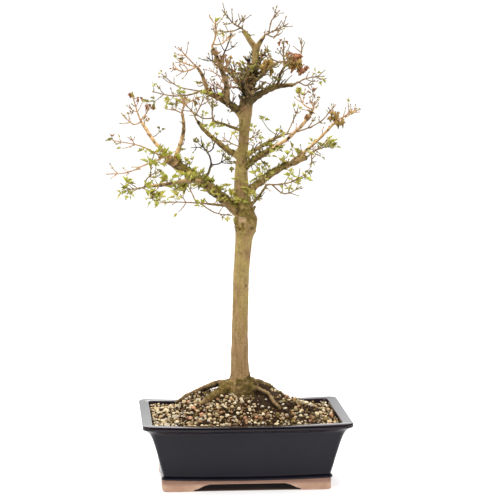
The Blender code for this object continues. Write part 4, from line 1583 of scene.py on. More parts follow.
            bloom = 0.25 + 0.45 * upward * ramp(patch, 0.3, 0.6)
            fresh = FRESH_BOUGHS.get(name, 0.0) * ramp(1.6 - small - patch * 0.6, 0.3, 0.9)
            # Painted shade: boughs are darker where their skin faces down
            shade = (0.75 - 0.65 * fresh) * ramp(small, 0.52, 0.66) + 0.5 * (1 - upward)
            shade = max(shade, DARK_BOUGHS.get(name, 0.0) * (1 - ramp(along, reach, reach * 1.6)))
        kept = 0.5 * (1 - ramp(z, 138, 152))
        moss *= kept + (1 - kept) * ramp(patch * 0.6 + small * 0.4, 0.34, 0.56)
        for height, azimuth, size, kind in SCARS if name == "trunk" else ():
            level = normal.to_2d().to_3d()
            away = math.hypot(z - height, (heading(azimuth, 0) - level).length * self.scar_radius)
            inner = 1 - ramp(away, size * 0.45, size)
            ring = ramp(away, size * 0.5, size) * (1 - ramp(away, size, size * 1.7))
            knot = kind is Scar.KNOT
            shade = max(shade, inner * 0.6 if knot else 0)
            cut = max(cut, ring * 0.35 if knot else inner * 0.75)
            dent += ring * 0.5 - inner * (1.1 if knot else 0.2)
        return dict(zip((*MARKS, "dent"), (moss, min(bloom, 1), min(shade, 1), cut, fresh, dent)))

    def build(self) -> tuple[Mossy, dict[str, Tube]]:
        """Makes the trunk and the boughs.

        Returns:
            The places and directions where moss grows thick, and the limbs' fine lines.
        """
        for name, tube in self.growth.tubes.items():
            self.fine_tubes[name] = flowing(tube, self.line_steps)
        roots = {f"root_{number}": self.root(rows, number) for number, rows in enumerate(ROOTS)}
        self.mound.kept_off = list(roots.values())
        trunk = self.fine_tubes["trunk"]
        tubes = [trunk, *roots.values(), *self.collars({"trunk"}), *self.stubs(["trunk"])]
        bm = self.remeshed("trunk_bark", tubes, self.trunk_voxel)
        mossy = self.carve(bm, {"trunk": trunk, **roots}, 1.0)
        settle(mesh_object("trunk_bark", bm, TRUNK_BARK.material()), "trunk_bark", "trunk")
        bark = BOUGH_BARK.material()
        for name, start in (("upper_bough_bark", UPPER), ("lower_bough_bark", LOWER)):
            limbs = [bough for bough in BOUGHS if bough.name.startswith(start)]
            boughs = {bough.name: self.fine_tubes[bough.name] for bough in limbs}
            tubes = [self.knotted(tube) for tube in boughs.values()] + self.stubs(boughs)
            carriers = {bough.carrier for bough in limbs} - {"trunk"}
            bm = self.remeshed(name, tubes + self.collars(carriers), self.bough_voxel)
            mossy += self.carve(bm, boughs, self.bough_relief)
            settle(mesh_object(name, bm, bark), "bough_bark", *boughs)
        return mossy, self.fine_tubes

    def knotted(self, tube: Tube) -> Tube:
        """The same bough with small swellings at its nodes."""
        radii = [radius * (1.03 + 0.12 * math.sin(i * 1.3) ** 3) for i, radius in enumerate(tube.radii)]
        return Tube(tube.points, radii)


class Stubs(NamedTuple):
    """Stubs on a limb, in mm: from and to where, how many, how thick, its core's radius and their length."""

    limb: str
    first: float
    last: float
    count: int
    thick: float
    core: float
    longest: float


STUBS = [Stubs(*row) for row in (
    ("trunk", 232, 272, 16, 7.0, 12.0, 4.0), ("trunk", 424, 450, 22, 5.0, 9.0, 15.0),
    ("trunk", 446, 482, 22, 4.4, 7.0, 18.0), ("trunk", 300, 400, 6, 5.0, 7.0, 4.0),
    ("low_left", 10, 154, 34, 5.4, 5.0, 5.0), ("low_right", 20, 115, 18, 4.6, 4.0, 5.0),
    ("mid_right", 8, 66, 14, 4.4, 3.6, 5.0), ("mid_left", 8, 80, 8, 3.8, 3.0, 4.0),
    ("high_left", 8, 74, 18, 3.6, 4.0, 8.0), ("high_right", 8, 80, 16, 3.6, 4.0, 7.0),
    ("high_left_tan", 6, 60, 10, 3.2, 3.0, 7.0), ("low_left_front", 10, 90, 7, 3.2, 2.4, 3.0),
)]


class Wave(NamedTuple):
    """A pattern of swellings: how many to a metre, where it starts, and how high they are."""

    per_metre: float
    start: tuple[float, float, float] = (0, 0, 0)
    rise: float = 1.0

    def at(self, place: Vector) -> float:
        """Its height at a place, either side of 0."""
        return noise.noise(place * self.per_metre + Vector(self.start)) * self.rise


class Scar(Enum):
    """What a scar on the trunk is."""

    KNOT = "knot"
    HEALED = "healed"


def band(value: float, rise: Pair, fall: Pair, amount: float) -> float:
    """An amount that fades in over one stretch of the value and out over another."""
    return amount * ramp(value, *rise) * (1 - ramp(value, *fall))


LUMPS = Wave(45, (7, 3, 1), 0.55)
KNOBS = Wave(120, (3, 9, 5))
FUZZ = Wave(330, (1, 8, 5), 0.7)
FINE = Wave(520, rise=0.12)
PATCHES = Wave(60, (4, 4, 9))
SPOTS = Wave(190, (2, 6, 3))
FLUTES = Vector((260, 260, 30))
TRUNK_MOSS = (((0, 1), (138, 160), 0.95), ((346, 372), (396, 418), 0.7), ((440, 480), (500, 540), 0.35))
WHORL_BAND = ((538, 552), (592, 614), 1.0)
MARKS = ("moss", "bloom", "shade", "cut", "fresh")
FRESH_BOUGHS = {
    "mid_right_tan": 1.0, "low_right_far": 0.6, "low_left_rise": 0.7, "low_left_far": 0.8,
    "high_left_tan": 0.4, "high_left_rise": 0.5, "crown_right": 0.5, "low_left_front": 0.3,
    "low_right": 0.25, "low_left": 0.15,
}
DARK_BOUGHS = {
    "low_left_dark": 0.85, "high_left": 0.7, "high_right": 0.65, "high_left_back": 0.8,
    "high_right_front": 0.7, "high_back": 0.7,
}
ROOT_SHADE = {"root_0": 0.26, "root_1": -0.1, "root_2": 0.2, "root_3": 0.3}
UPPER = ("high", "crown")
LOWER = ("low", "mid")
MOSS_THICK = 0.5
MOSS_FLOOR = 100 * MM
ROOT_MOSS = {
    "root_0": (0.5, 16), "root_1": (1.0, 60), "root_2": (0.95, 30), "root_3": (0.8, 60), "root_4": (0.9, 60),
    "root_7": (0.8, 20),
}
BOUGH_MOSS = {
    "low_left": (1.0, 150), "mid_right": (1.0, 70), "low_right": (0.8, 110), "mid_left": (0.6, 60),
    "low_left_front": (0.9, 60), "low_right_front": (0.7, 50), "low_back": (0.7, 60), "high_left": (0.6, 50),
    "high_right": (0.6, 60), "low_left_back": (0.6, 50),
}
SCARS = ((286, -52, 3.4, Scar.KNOT), (383, -118, 5.5, Scar.HEALED), (232, -112, 2.0, Scar.HEALED))
TRUNK_BARK = Bark("trunk_bark", (192, 157, 113), (138, 106, 68))
BOUGH_BARK = Bark("bough_bark", (204, 164, 104), (108, 78, 36), moss=(170, 154, 62), deep_moss=(112, 96, 34))


class Tint(Enum):
    """The tints of leaves and buds, by the names of their pieces."""

    FRESH = "fresh_green_leaves"
    YELLOW = "yellow_green_leaves"
    OLIVE = "olive_green_leaves"
    BRONZE = "bronze_leaves"
    RUST = "rust_brown_leaves"
    GREEN_BUDS = "green_buds"
    BROWN_BUDS = "brown_buds"


class Skin(Enum):
    """The skins of twigs, by the names of their pieces."""

    TAN = "tan_twigs"
    BROWN = "brown_twigs"
    DARK = "dark_twigs"
    REDDISH = "reddish_shoots"
    GREENISH = "olive_shoots"


FRESH, YELLOW, OLIVE, BRONZE, RUST, GREEN_BUDS, BROWN_BUDS = Tint
TAN, BROWN, DARK, REDDISH, GREENISH = Skin
LEAF_TINTS = (FRESH, YELLOW, OLIVE, BRONZE, RUST)
LIMP_TINTS = (BRONZE, RUST)
FINE_SKIN = {TAN: REDDISH, BROWN: GREENISH}


class Look(NamedTuple):
    """How a mass is dressed: its leaf tints' shares, its twigs' skin, how leafy it is and their scale."""

    shares: tuple[int, ...]
    skin: Skin
    leafy: float = 1.0
    scale: float = 1.0

    def fine_skin(self) -> Skin:
        """The skin of its finest twigs."""
        return FINE_SKIN.get(self.skin, self.skin)


class Spurs(NamedTuple):
    """Short shoots along a limb, in mm: from and to where, how close, how long, how thick, and their look."""

    first: float
    last: float
    step: float
    least: float
    most: float
    thick: float
    look: Look


class Sprig(NamedTuple):
    """A spray with a place of its own, in mm, and its leaves: how many, how long in mm, and their tint."""

    x: float
    y: float
    z: float
    count: int
    length: float
    tint: Tint


@dataclass
class Crown:
    """The fine twigs, buds, young leaves and moss that stand for the masses of twigs."""

    growth: Growth
    fine_stem_nodes: tuple[float, ...] = (0.64,)
    fine_arm_nodes: tuple[float, ...] = (0.86,)
    fine_twig_nodes: tuple[float, ...] = (0.55,)
    fine_chance: float = 0.3
    fine_length: float = 13.0
    finest: float = 0.7
    thinning: float = 0.9
    side_thinning: float = 0.82
    fine_thick: float = 1.2
    fine_tip: float = 0.8
    fine_shared: float = 3.0
    least_length: float = 5.0
    bends: Pair = (0.35, 0.7)
    sagging: Pair = (-0.1, 0.02)
    bend_steps: int = 4
    waviness: float = 0.22
    knot: float = 1.16
    between_knots: float = 0.97
    roundness: int = 1
    sprig_seed: int = 733
    sprig_shoot: Pair = (1.6, 1.1)
    sprig_sag: float = 0.12
    sprig_sizes: Pair = (0.75, 1.15)
    spur_rises: Pair = (-15.0, 80.0)
    spur_middle: float = 0.55
    spur_forks: float = 22.0
    fork_places: tuple[float, ...] = (0.45, 0.75)
    bud_places: tuple[float, ...] = (0.35, 0.62, 0.86)
    bud_lengths: Pair = (14.0, 30.0)
    bud_chance: float = 0.5
    side_bud: float = 0.8
    tip_bud: float = 1.35
    spray_chances: tuple[float, ...] = (0.9, 0.6, 0.25)
    ring_choices: tuple[int, ...] = (1, 2, 2, 3)
    lost_leaf: float = 0.12
    leaf_sizes: Pair = (8.5, 14.0)
    leaf_spread: Pair = (12.0, 62.0)
    limp_drop: float = -0.9
    fresh_lift: float = 0.25
    bud_sizes: Pair = (2.0, 3.2)
    moss_seed: int = 88
    moss_count: int = 7000
    moss_sizes: Pair = (0.9, 2.3)
    twigs: dict[Skin, list[Tube]] = field(default_factory=dict)
    leaves: dict[Tint, list[tuple[Shape, Matrix]]] = field(default_factory=dict)

    def bent(self, twig: Twig, rng: Rng) -> Tube:
        """A twig's fine tube: a little wavy, turned up at its tip, and thicker at its nodes.

        Args:
            twig: The twig.
            rng: The source of its waves.

        Returns:
            The tube.
        """
        points = list(twig.points)
        if len(points) == 2:
            foot, tip = points
            lift = Vector((0, 0, (tip - foot).length * rng.uniform(*self.sagging)))
            points = [foot, *[foot.lerp(tip, share) + lift for share in self.bends], tip]
        fine = flowing(Tube(points, taper(twig.base, twig.tip, len(points))), self.bend_steps)
        shaken = [p + strayed(rng, 1) * self.waviness * MM for p in fine.points[1:]]
        swell = (self.knot, *[self.between_knots] * (self.bend_steps - 1))
        radii = [r * swell[i % self.bend_steps] for i, r in enumerate(fine.radii)]
        return Tube([fine.points[0], *shaken], radii)

    def mass(self, name: str) -> list[Twig]:
        """Grows a mass by the source's rule, then carries it to finer twigs.

        Args:
            name: The limb that it grows on from.

        Returns:
            Its twigs.
        """
        grow = self.growth
        shared = grow.shared_stretch * MM
        ways, rng = grow.spines[name]
        thin = self.thinning
        twigs = [Twig(ways[0], grow.stem_thick * thin, grow.stem_tip * thin, 0)]
        for arm in ways[1:]:
            if grow.allows(name, arm, grow.arm_thick / 2 * MM, shared):
                twigs.append(Twig(arm, grow.arm_thick * thin, grow.stem_tip * thin, 0))
        sides = []
        thin = self.side_thinning
        for way in list(twigs):
            nodes = grow.stem_nodes if way.points is ways[0] else grow.arm_nodes
            for points in grow.side_twigs(way.points, nodes, grow.twig_length, rng):
                rng.random()
                if grow.allows(name, points, grow.twig_thick / 2 * MM, shared):
                    sides.append(Twig(points, grow.twig_thick * thin, grow.twig_tip * thin, 1))
        fine_rng = Rng(grow.fine_seeds + list(MASSES).index(name))
        finer = []
        for way in twigs + sides:
            nodes = self.fine_stem_nodes if way is twigs[0] else self.fine_arm_nodes
            longest = self.fine_length
            if way.order:
                nodes, longest = self.fine_twig_nodes, self.fine_length * self.finest
                if fine_rng.random() > self.fine_chance:
                    continue
            for points in grow.side_twigs(way.points, nodes, longest, fine_rng):
                long_enough = length_of(points) > self.least_length * MM
                if long_enough and grow.allows(name, points, self.fine_thick / 2 * MM, self.fine_shared * MM):
                    finer.append(Twig(points, self.fine_thick, self.fine_tip, 2))
        return twigs + sides + finer

    def spurs(self, tube: Tube, row: Spurs, rng: Rng) -> list[Twig]:
        """Grows short shoots along a limb, mostly on its upper side.

        Args:
            tube: The limb's fine line.
            row: Where they stand, and how close and long they are.
            rng: The source of their places.

        Returns:
            The shoots.
        """
        made = []
        total = min(length_of(tube.points) / MM, row.last)
        distance = row.first + row.step * rng.uniform(0, 1)
        while distance < total:
            foot, along = place_on(tube.points, distance * MM)
            way = (along * 0.4 + heading(rng.uniform(-180, 180), rng.uniform(*self.spur_rises))).normalized()
            length = rng.uniform(row.least, row.most) * MM
            side = strayed(rng, 0.3) + Vector((0, 0, 0.15))
            middle = foot + way * length * self.spur_middle
            points = [foot, middle, foot + (way + side).normalized() * length]
            made.append(Twig(points, row.thick, row.thick * 0.5, 2))
            if length > self.spur_forks * MM:
                for fork in self.growth.side_twigs(points, self.fork_places, length / MM * 0.5, rng):
                    made.append(Twig(fork, row.thick * 0.62, row.thick * 0.4, 2))
            distance += row.step * rng.uniform(0.5, 1.5)
        return made

    def dress(self, tube: Tube, order: int, look: Look, rng: Rng) -> None:
        """Sets pairs of buds along a twig, and a spray of young leaves or a bud on its tip.

        Args:
            tube: The twig's fine tube.
            order: Its order from the stem.
            look: The leaf tints near it, and how leafy it is.
            rng: The source of what grows where.
        """
        points = tube.points
        total = length_of(points)
        along = (points[-1] - points[-3]).normalized()
        bud = BROWN_BUDS if rng.random() < 0.5 else GREEN_BUDS
        for share in self.bud_places[: 1 + sum(total > least * MM for least in self.bud_lengths)]:
            if rng.random() < self.bud_chance:
                at, way = place_on(points, share * total)
                self.pair(at, way, rng.uniform(*self.bud_sizes) * self.side_bud, bud, rng)
        if rng.random() < self.spray_chances[order] * look.leafy:
            self.spray(points[-1], along, look, rng)
        else:
            size = rng.uniform(*self.bud_sizes) * self.tip_bud
            self.put(bud, BUD, points[-1] - along * 0.6 * MM, along, size, rng)

    def put(self, kind: Tint, shape: Shape, at: Vector, way: Vector, size: float, rng: Rng) -> None:
        """Puts one copy of a shape at a place.

        Args:
            kind: The piece that it goes into.
            shape: The shape.
            at: Its place.
            way: Where it points.
            size: Its size in mm.
            rng: The source of its turn.
        """
        up = Vector((rng.uniform(-0.3, 0.3), rng.uniform(-0.3, 0.3), 1))
        place = Matrix.Translation(at) @ frame_along(way, up) @ Matrix.Scale(size * MM, 4)
        self.leaves.setdefault(kind, []).append((shape, place))

    def pair(self, at: Vector, way: Vector, size: float, bud: Tint, rng: Rng) -> None:
        """Sets an opposite pair of buds at a node.

        Args:
            at: The node's place.
            way: The twig's direction there.
            size: The buds' size in mm.
            bud: Their tint.
            rng: The source of their turn.
        """
        across = Matrix.Rotation(rng.uniform(0, math.pi), 3, way) @ way.orthogonal().normalized()
        for side in (1, -1):
            foot = at + across * side * 0.5 * MM
            self.put(bud, BUD, foot, (way + across * side * 0.8).normalized(), size, rng)

    def spray(self, tip: Vector, along: Vector, look: Look, rng: Rng) -> None:
        """Opens a spray of two to six young leaves of one tint at a tip.

        Args:
            tip: The twig's tip.
            along: The twig's direction there.
            look: The leaf tints near it, and the leaves' scale.
            rng: The source of the leaves.
        """
        tint = rng.choices(LEAF_TINTS, look.shares)[0]
        limp = tint in LIMP_TINTS
        opened = rng.random() ** 1.3
        turned = rng.uniform(0, math.pi)
        grown = rng.uniform(*self.leaf_sizes) * look.scale
        low, high = self.leaf_spread
        for ring in range(rng.choice(self.ring_choices)):
            across = Matrix.Rotation(turned + ring * math.pi / 2, 3, along) @ along.orthogonal().normalized()
            for side in (1, -1):
                if rng.random() < self.lost_leaf:
                    continue
                spread = math.radians(low + (high - low) * opened * rng.uniform(0.7, 1.2)) * (1 - 0.25 * ring)
                way = along * math.cos(spread) + across * (side * math.sin(spread))
                way += Vector((0, 0, self.limp_drop if limp else self.fresh_lift)) * opened
                shape = rng.choice(LIMP_LEAVES if limp else (OPEN_LEAVES if opened > 0.5 else YOUNG_LEAVES))
                size = grown * rng.uniform(0.75, 1.1) * (1 - 0.12 * ring)
                self.put(tint, shape, tip - along * 0.5 * MM, way.normalized(), size, rng)

    def build(self, limbs: dict[str, Tube], mossy: Mossy) -> None:
        """Grows every mass, dresses it, and joins each kind into its piece.

        Args:
            limbs: The limbs' fine lines.
            mossy: The places where moss grows thick, with the bark's direction there.
        """
        nodes: dict[Skin, list[str]] = {}
        for number, name in enumerate(MASSES):
            rng = Rng(self.growth.fine_seeds * 2 + number)
            look = MASS_LOOKS[name]
            nodes.setdefault(look.skin, []).append("leader_twigs" if name == "trunk" else f"{name}_twigs")
            self.set_out(self.mass(name), look, rng)
            plain = [Spurs(*PLAIN_SPURS, look._replace(skin=look.fine_skin()))]
            for row in SPURS.get(name, plain):
                self.set_out(self.spurs(limbs[name], row, rng), row.look, rng)
        for row in SPURS["mid_right"]:
            rng = Rng(self.growth.fine_seeds)
            self.set_out(self.spurs(limbs["mid_right"], row, rng), row.look, rng)
        self.sprigs(limbs)
        for skin, finish in TWIG_FINISHES.items():
            bm = tubes_skin(skin.value, self.twigs.get(skin, []), self.roundness)
            piece = mesh_object(skin.value, bm, finish.material())
            settle(piece, "twigs_and_leaves", *nodes.get(skin, []))
        for tint, finish in LEAF_FINISHES.items():
            settle(joined(tint.value, self.leaves[tint], finish.material()), "twigs_and_leaves")
        self.moss(mossy)

    def set_out(self, twigs: list[Twig], look: Look, rng: Rng) -> None:
        """Bends and dresses twigs, and sorts them by their skins.

        Args:
            twigs: The twigs.
            look: How they are dressed.
            rng: The source of their waves, buds and leaves.
        """
        for twig in twigs:
            tube = self.bent(twig, rng)
            skin = look.skin if twig.order < 2 else look.fine_skin()
            self.twigs.setdefault(skin, []).append(tube)
            self.dress(tube, twig.order, look, rng)

    def sprigs(self, limbs: dict[str, Tube]) -> None:
        """Grows a thin shoot from the nearest wood to each sprig's place, and opens its leaves there.

        Args:
            limbs: The limbs' fine lines.
        """
        rng = Rng(self.sprig_seed)
        tubes = [*limbs.values(), *[tube for kind in self.twigs.values() for tube in kind]]
        tree = tree_of(point for tube in tubes for point in tube.points)
        for row in SPRIGS:
            place = Vector(row[:3]) * MM
            foot, _, away = tree.find(place)
            if away > self.sprig_shoot[0] * MM:
                middle = foot.lerp(place, 0.5) - Vector((0, 0, away * self.sprig_sag))
                skin = REDDISH if row.tint in LIMP_TINTS else GREENISH
                self.twigs[skin].append(self.bent(Twig([foot, middle, place], *self.sprig_shoot, 2), rng))
            self.fan(place, row, rng)

    def fan(self, place: Vector, row: Sprig, rng: Rng) -> None:
        """Opens a sprig's leaves round its place: upwards if they are fresh, and hanging if they are limp.

        Args:
            place: The place.
            row: The sprig.
            rng: The source of the leaves.
        """
        limp = row.tint in LIMP_TINTS
        folded = YOUNG_LEAVES if row.tint is BROWN_BUDS else OPEN_LEAVES + YOUNG_LEAVES
        for number in range(row.count):
            azimuth = 360 * (number + rng.uniform(-0.3, 0.3)) / row.count
            way = heading(azimuth, rng.uniform(-85, -15) if limp else rng.uniform(-5, 80))
            shape = rng.choice(LIMP_LEAVES if limp else folded)
            size = row.length * rng.uniform(*self.sprig_sizes)
            self.put(row.tint, shape, place - way * 0.5 * MM, way, size, rng)

    def moss(self, mossy: Mossy) -> None:
        """Plants tufts of moss where it grows thick.

        Args:
            mossy: The places, with the direction of what lies below.
        """
        rng = Rng(self.moss_seed)
        copies = []
        for at, normal in rng.sample(mossy, min(len(mossy), self.moss_count)):
            way = (normal + strayed(rng, 0.6) + Vector((0, 0, 0.3))).normalized()
            size = rng.uniform(*self.moss_sizes) * MM
            place = Matrix.Translation(at - normal * 0.2 * MM) @ frame_along(way, Vector((1, 0, 0.1)))
            copies.append((TUFT, place @ Matrix.Scale(size, 4)))
        settle(joined("moss_tufts", copies, MOSS.material()), "trunk_bark")


def leaf_shape(fold: float, curl: float, lobes: float = 0.5) -> Shape:
    """A young three-lobed leaf on its stalk, one unit long with it.

    Args:
        fold: How far the halves are folded up about the midrib, in degrees.
        curl: How far the blade bends over along its length, in radians.
        lobes: How far the side lobes reach out.

    Returns:
        The leaf, with its length along Z and its upper side towards Y.
    """
    bm = bmesh.new()
    edge = ((0.13, 0.07), (0.3, 0.18), (lobes, 0.52), (0.27, 0.5), (0.16, 0.6), (0.1, 0.84))
    midrib = ((0, 1), (0, 0.7), (0, 0.35))
    bm.faces.new([bm.verts.new((x, 0, z)) for x, z in ((0, 0), *edge, *midrib)])
    bmesh.ops.triangulate(bm, faces=bm.faces)
    bmesh.ops.mirror(bm, geom=bm.verts[:] + bm.edges[:] + bm.faces[:], merge_dist=0.001, axis="X")
    bmesh.ops.recalc_face_normals(bm, faces=bm.faces)
    angle = math.radians(fold)
    for vert in bm.verts:
        x, _, z = vert.co
        bend = curl * z
        down = (1 - math.cos(bend)) / curl
        lift = abs(x) * math.sin(angle)
        high = math.sin(bend) / curl + lift * math.sin(bend)
        vert.co = Vector((x * math.cos(angle), lift * math.cos(bend) - down, high))
    bmesh.ops.solidify(bm, geom=bm.faces[:], thickness=0.025)
    face_outwards(bm)
    stalk = Matrix.Translation((0, 0, -0.19))
    bmesh.ops.create_cone(bm, cap_ends=True, segments=3, radius1=0.028, radius2=0.02, depth=0.4, matrix=stalk)
    bmesh.ops.translate(bm, verts=bm.verts, vec=(0, 0, 0.38))
    bmesh.ops.scale(bm, verts=bm.verts, vec=(0.75, 0.75, 0.75))
    return shape_of(bm)


def bud_shape() -> Shape:
    """A slim pointed bud.

    Returns:
        The bud, one unit long, on its foot.
    """
    bm = bmesh.new()
    bmesh.ops.create_uvsphere(bm, u_segments=5, v_segments=5, radius=0.5)
    for vert in bm.verts:
        up = vert.co.z + 0.5
        slim = 0.46 * (1 - 0.55 * up)
        vert.co = Vector((vert.co.x * slim * 1.6, vert.co.y * slim * 1.6, up))
    face_outwards(bm)
    return shape_of(bm)


def tuft_shape() -> Shape:
    """A spike of moss.

    Returns:
        The spike, three-sided and one unit tall.
    """
    bm = bmesh.new()
    lift = Matrix.Translation((0, 0, 0.5))
    bmesh.ops.create_cone(bm, cap_ends=True, segments=3, radius1=0.24, radius2=0.02, depth=1.0, matrix=lift)
    face_outwards(bm)
    return shape_of(bm)


YOUNG_LEAVES = [leaf_shape(74, 0.3, 0.4), leaf_shape(66, -0.4, 0.36), leaf_shape(80, 0.15, 0.34)]
OPEN_LEAVES = [leaf_shape(*row) for row in ((28, 0.7), (42, 0.5, 0.54), (18, 1.0, 0.5), (52, 0.9, 0.46))]
LIMP_LEAVES = [leaf_shape(58, 1.3, 0.46), leaf_shape(70, 0.9, 0.42), leaf_shape(46, 1.6, 0.5)]
BUD = bud_shape()
TUFT = tuft_shape()

TWIG_FINISHES = {kind: Shootskin(kind.value, *row) for kind, *row in (
    (TAN, (220, 178, 128), (176, 132, 88), 0.6, 180),
    (BROWN, (170, 138, 90), (118, 92, 56), 0.65, 180),
    (DARK, (84, 62, 30), (40, 28, 10), 0.8, 180),
    (REDDISH, (200, 154, 110), (150, 106, 74), 0.55, 240),
    (GREENISH, (158, 142, 80), (108, 94, 48), 0.6, 240),
)}
LEAF_FINISHES = {kind: Shootskin(kind.value, *row) for kind, *row in (
    (FRESH, (204, 202, 86), (162, 160, 58), 0.5),
    (YELLOW, (216, 208, 104), (180, 168, 68), 0.5),
    (OLIVE, (170, 160, 80), (126, 118, 54), 0.55),
    (BRONZE, (196, 162, 84), (146, 116, 56), 0.55),
    (RUST, (190, 128, 78), (140, 90, 54), 0.6),
    (GREEN_BUDS, (190, 182, 112), (150, 140, 78), 0.5),
    (BROWN_BUDS, (188, 144, 96), (138, 98, 60), 0.55),
)}
MOSS = Shootskin("moss_tufts", (156, 140, 58), (108, 94, 36), 0.8, 300)

# The shares of the leaf tints in a mass
MIXED = (5, 5, 4, 1, 0)
GREEN = (6, 5, 2, 0, 0)
LIMP = (0, 0, 1, 6, 4)
DULL = (1, 1, 5, 1, 1)
MASS_LOOKS = {name: Look(*row) for name, row in {
    "low_left": (GREEN, TAN, 0.6), "low_left_rise": (MIXED, TAN, 0.6), "low_left_far": (MIXED, TAN, 0.25),
    "low_left_front": (GREEN, BROWN, 1.1, 1.15), "low_left_dark": (DULL, DARK, 0.6),
    "low_left_back": (GREEN, BROWN, 1.0, 1.1), "low_right": (GREEN, BROWN, 0.9),
    "low_right_far": (MIXED, TAN, 0.12), "low_right_front": (GREEN, BROWN, 0.7, 1.15),
    "mid_left": (GREEN, BROWN, 0.7), "mid_left_front": (MIXED, BROWN, 0.5),
    "mid_right_tan": (MIXED, TAN, 0.2, 1.1), "mid_right_back": (MIXED, BROWN, 0.5),
    "high_left": (GREEN, BROWN, 0.4), "high_left_rise": (MIXED, TAN, 0.35),
    "high_left_tan": (MIXED, TAN, 0.3), "high_left_back": (MIXED, DARK, 0.3),
    "high_right": (MIXED, BROWN, 0.1), "high_right_rise": (LIMP, BROWN, 0.25),
    "high_right_front": (LIMP, BROWN, 0.3), "crown_right": (MIXED, BROWN, 0.05),
    "trunk": (MIXED, BROWN, 0.2), "low_back": (GREEN, BROWN, 0.8), "high_back": (MIXED, DARK, 0.5),
}.items()}
WHORL = Look(DULL, DARK, 0.15, 0.8)
GNARL = Look(MIXED, GREENISH, 0.2, 0.8)
PINK = Look(MIXED, REDDISH, 0.3, 0.8)
MOSSY = Look(GREEN, GREENISH, 2.0, 1.0)
PLAIN_SPURS = (16, 300, 16, 6, 13, 1.7)
SPURS = {name: [Spurs(*row) for row in rows] for name, rows in {
    "trunk": (
        (428, 492, 1.7, 8, 26, 3.2, WHORL), (432, 490, 5, 18, 40, 2.6, GNARL),
        (432, 488, 12, 16, 36, 2.2, PINK), (226, 272, 3.4, 4, 12, 1.7, MOSSY),
        (492, 560, 5, 5, 12, 2.4, GNARL),
    ),
    "low_left": ((10, 156, 3.6, 4, 12, 1.7, MOSSY), (60, 156, 7, 6, 16, 2.4, WHORL)),
    "low_left_front": ((10, 120, 7, 4, 14, 1.7, MOSSY),),
    "mid_left": ((16, 84, 12, 6, 18, 1.7, GNARL),),
    "mid_right": ((10, 66, 3.2, 5, 16, 1.7, MOSSY), (10, 66, 5, 8, 20, 2.2, GNARL)),
    "mid_right_back": ((14, 84, 8, 6, 16, 1.9, WHORL), (20, 84, 12, 6, 14, 1.7, MOSSY)),
    "low_right": ((16, 112, 4, 5, 16, 1.7, MOSSY), (10, 100, 4, 8, 22, 2.0, GNARL)),
    "low_right_front": ((10, 66, 9, 6, 16, 1.8, MOSSY),),
    "high_left": ((8, 74, 6, 8, 22, 2.6, WHORL), (10, 76, 9, 10, 30, 2.0, PINK)),
    "high_right": ((8, 80, 6, 8, 18, 2.6, WHORL), (12, 82, 10, 8, 26, 2.0, GNARL)),
    "high_left_tan": ((8, 80, 5, 8, 30, 2.0, PINK), (8, 60, 6, 8, 20, 2.4, WHORL)),
    "high_right_front": ((8, 66, 9, 8, 20, 2.0, GNARL),),
    "high_right_rise": ((4, 40, 9, 8, 20, 2.0, GNARL),),
    "high_left_back": ((8, 66, 5, 8, 28, 2.4, WHORL), (10, 66, 7, 8, 28, 2.0, GNARL)),
    "high_back": ((8, 60, 9, 8, 24, 2.4, WHORL),),
}.items()}
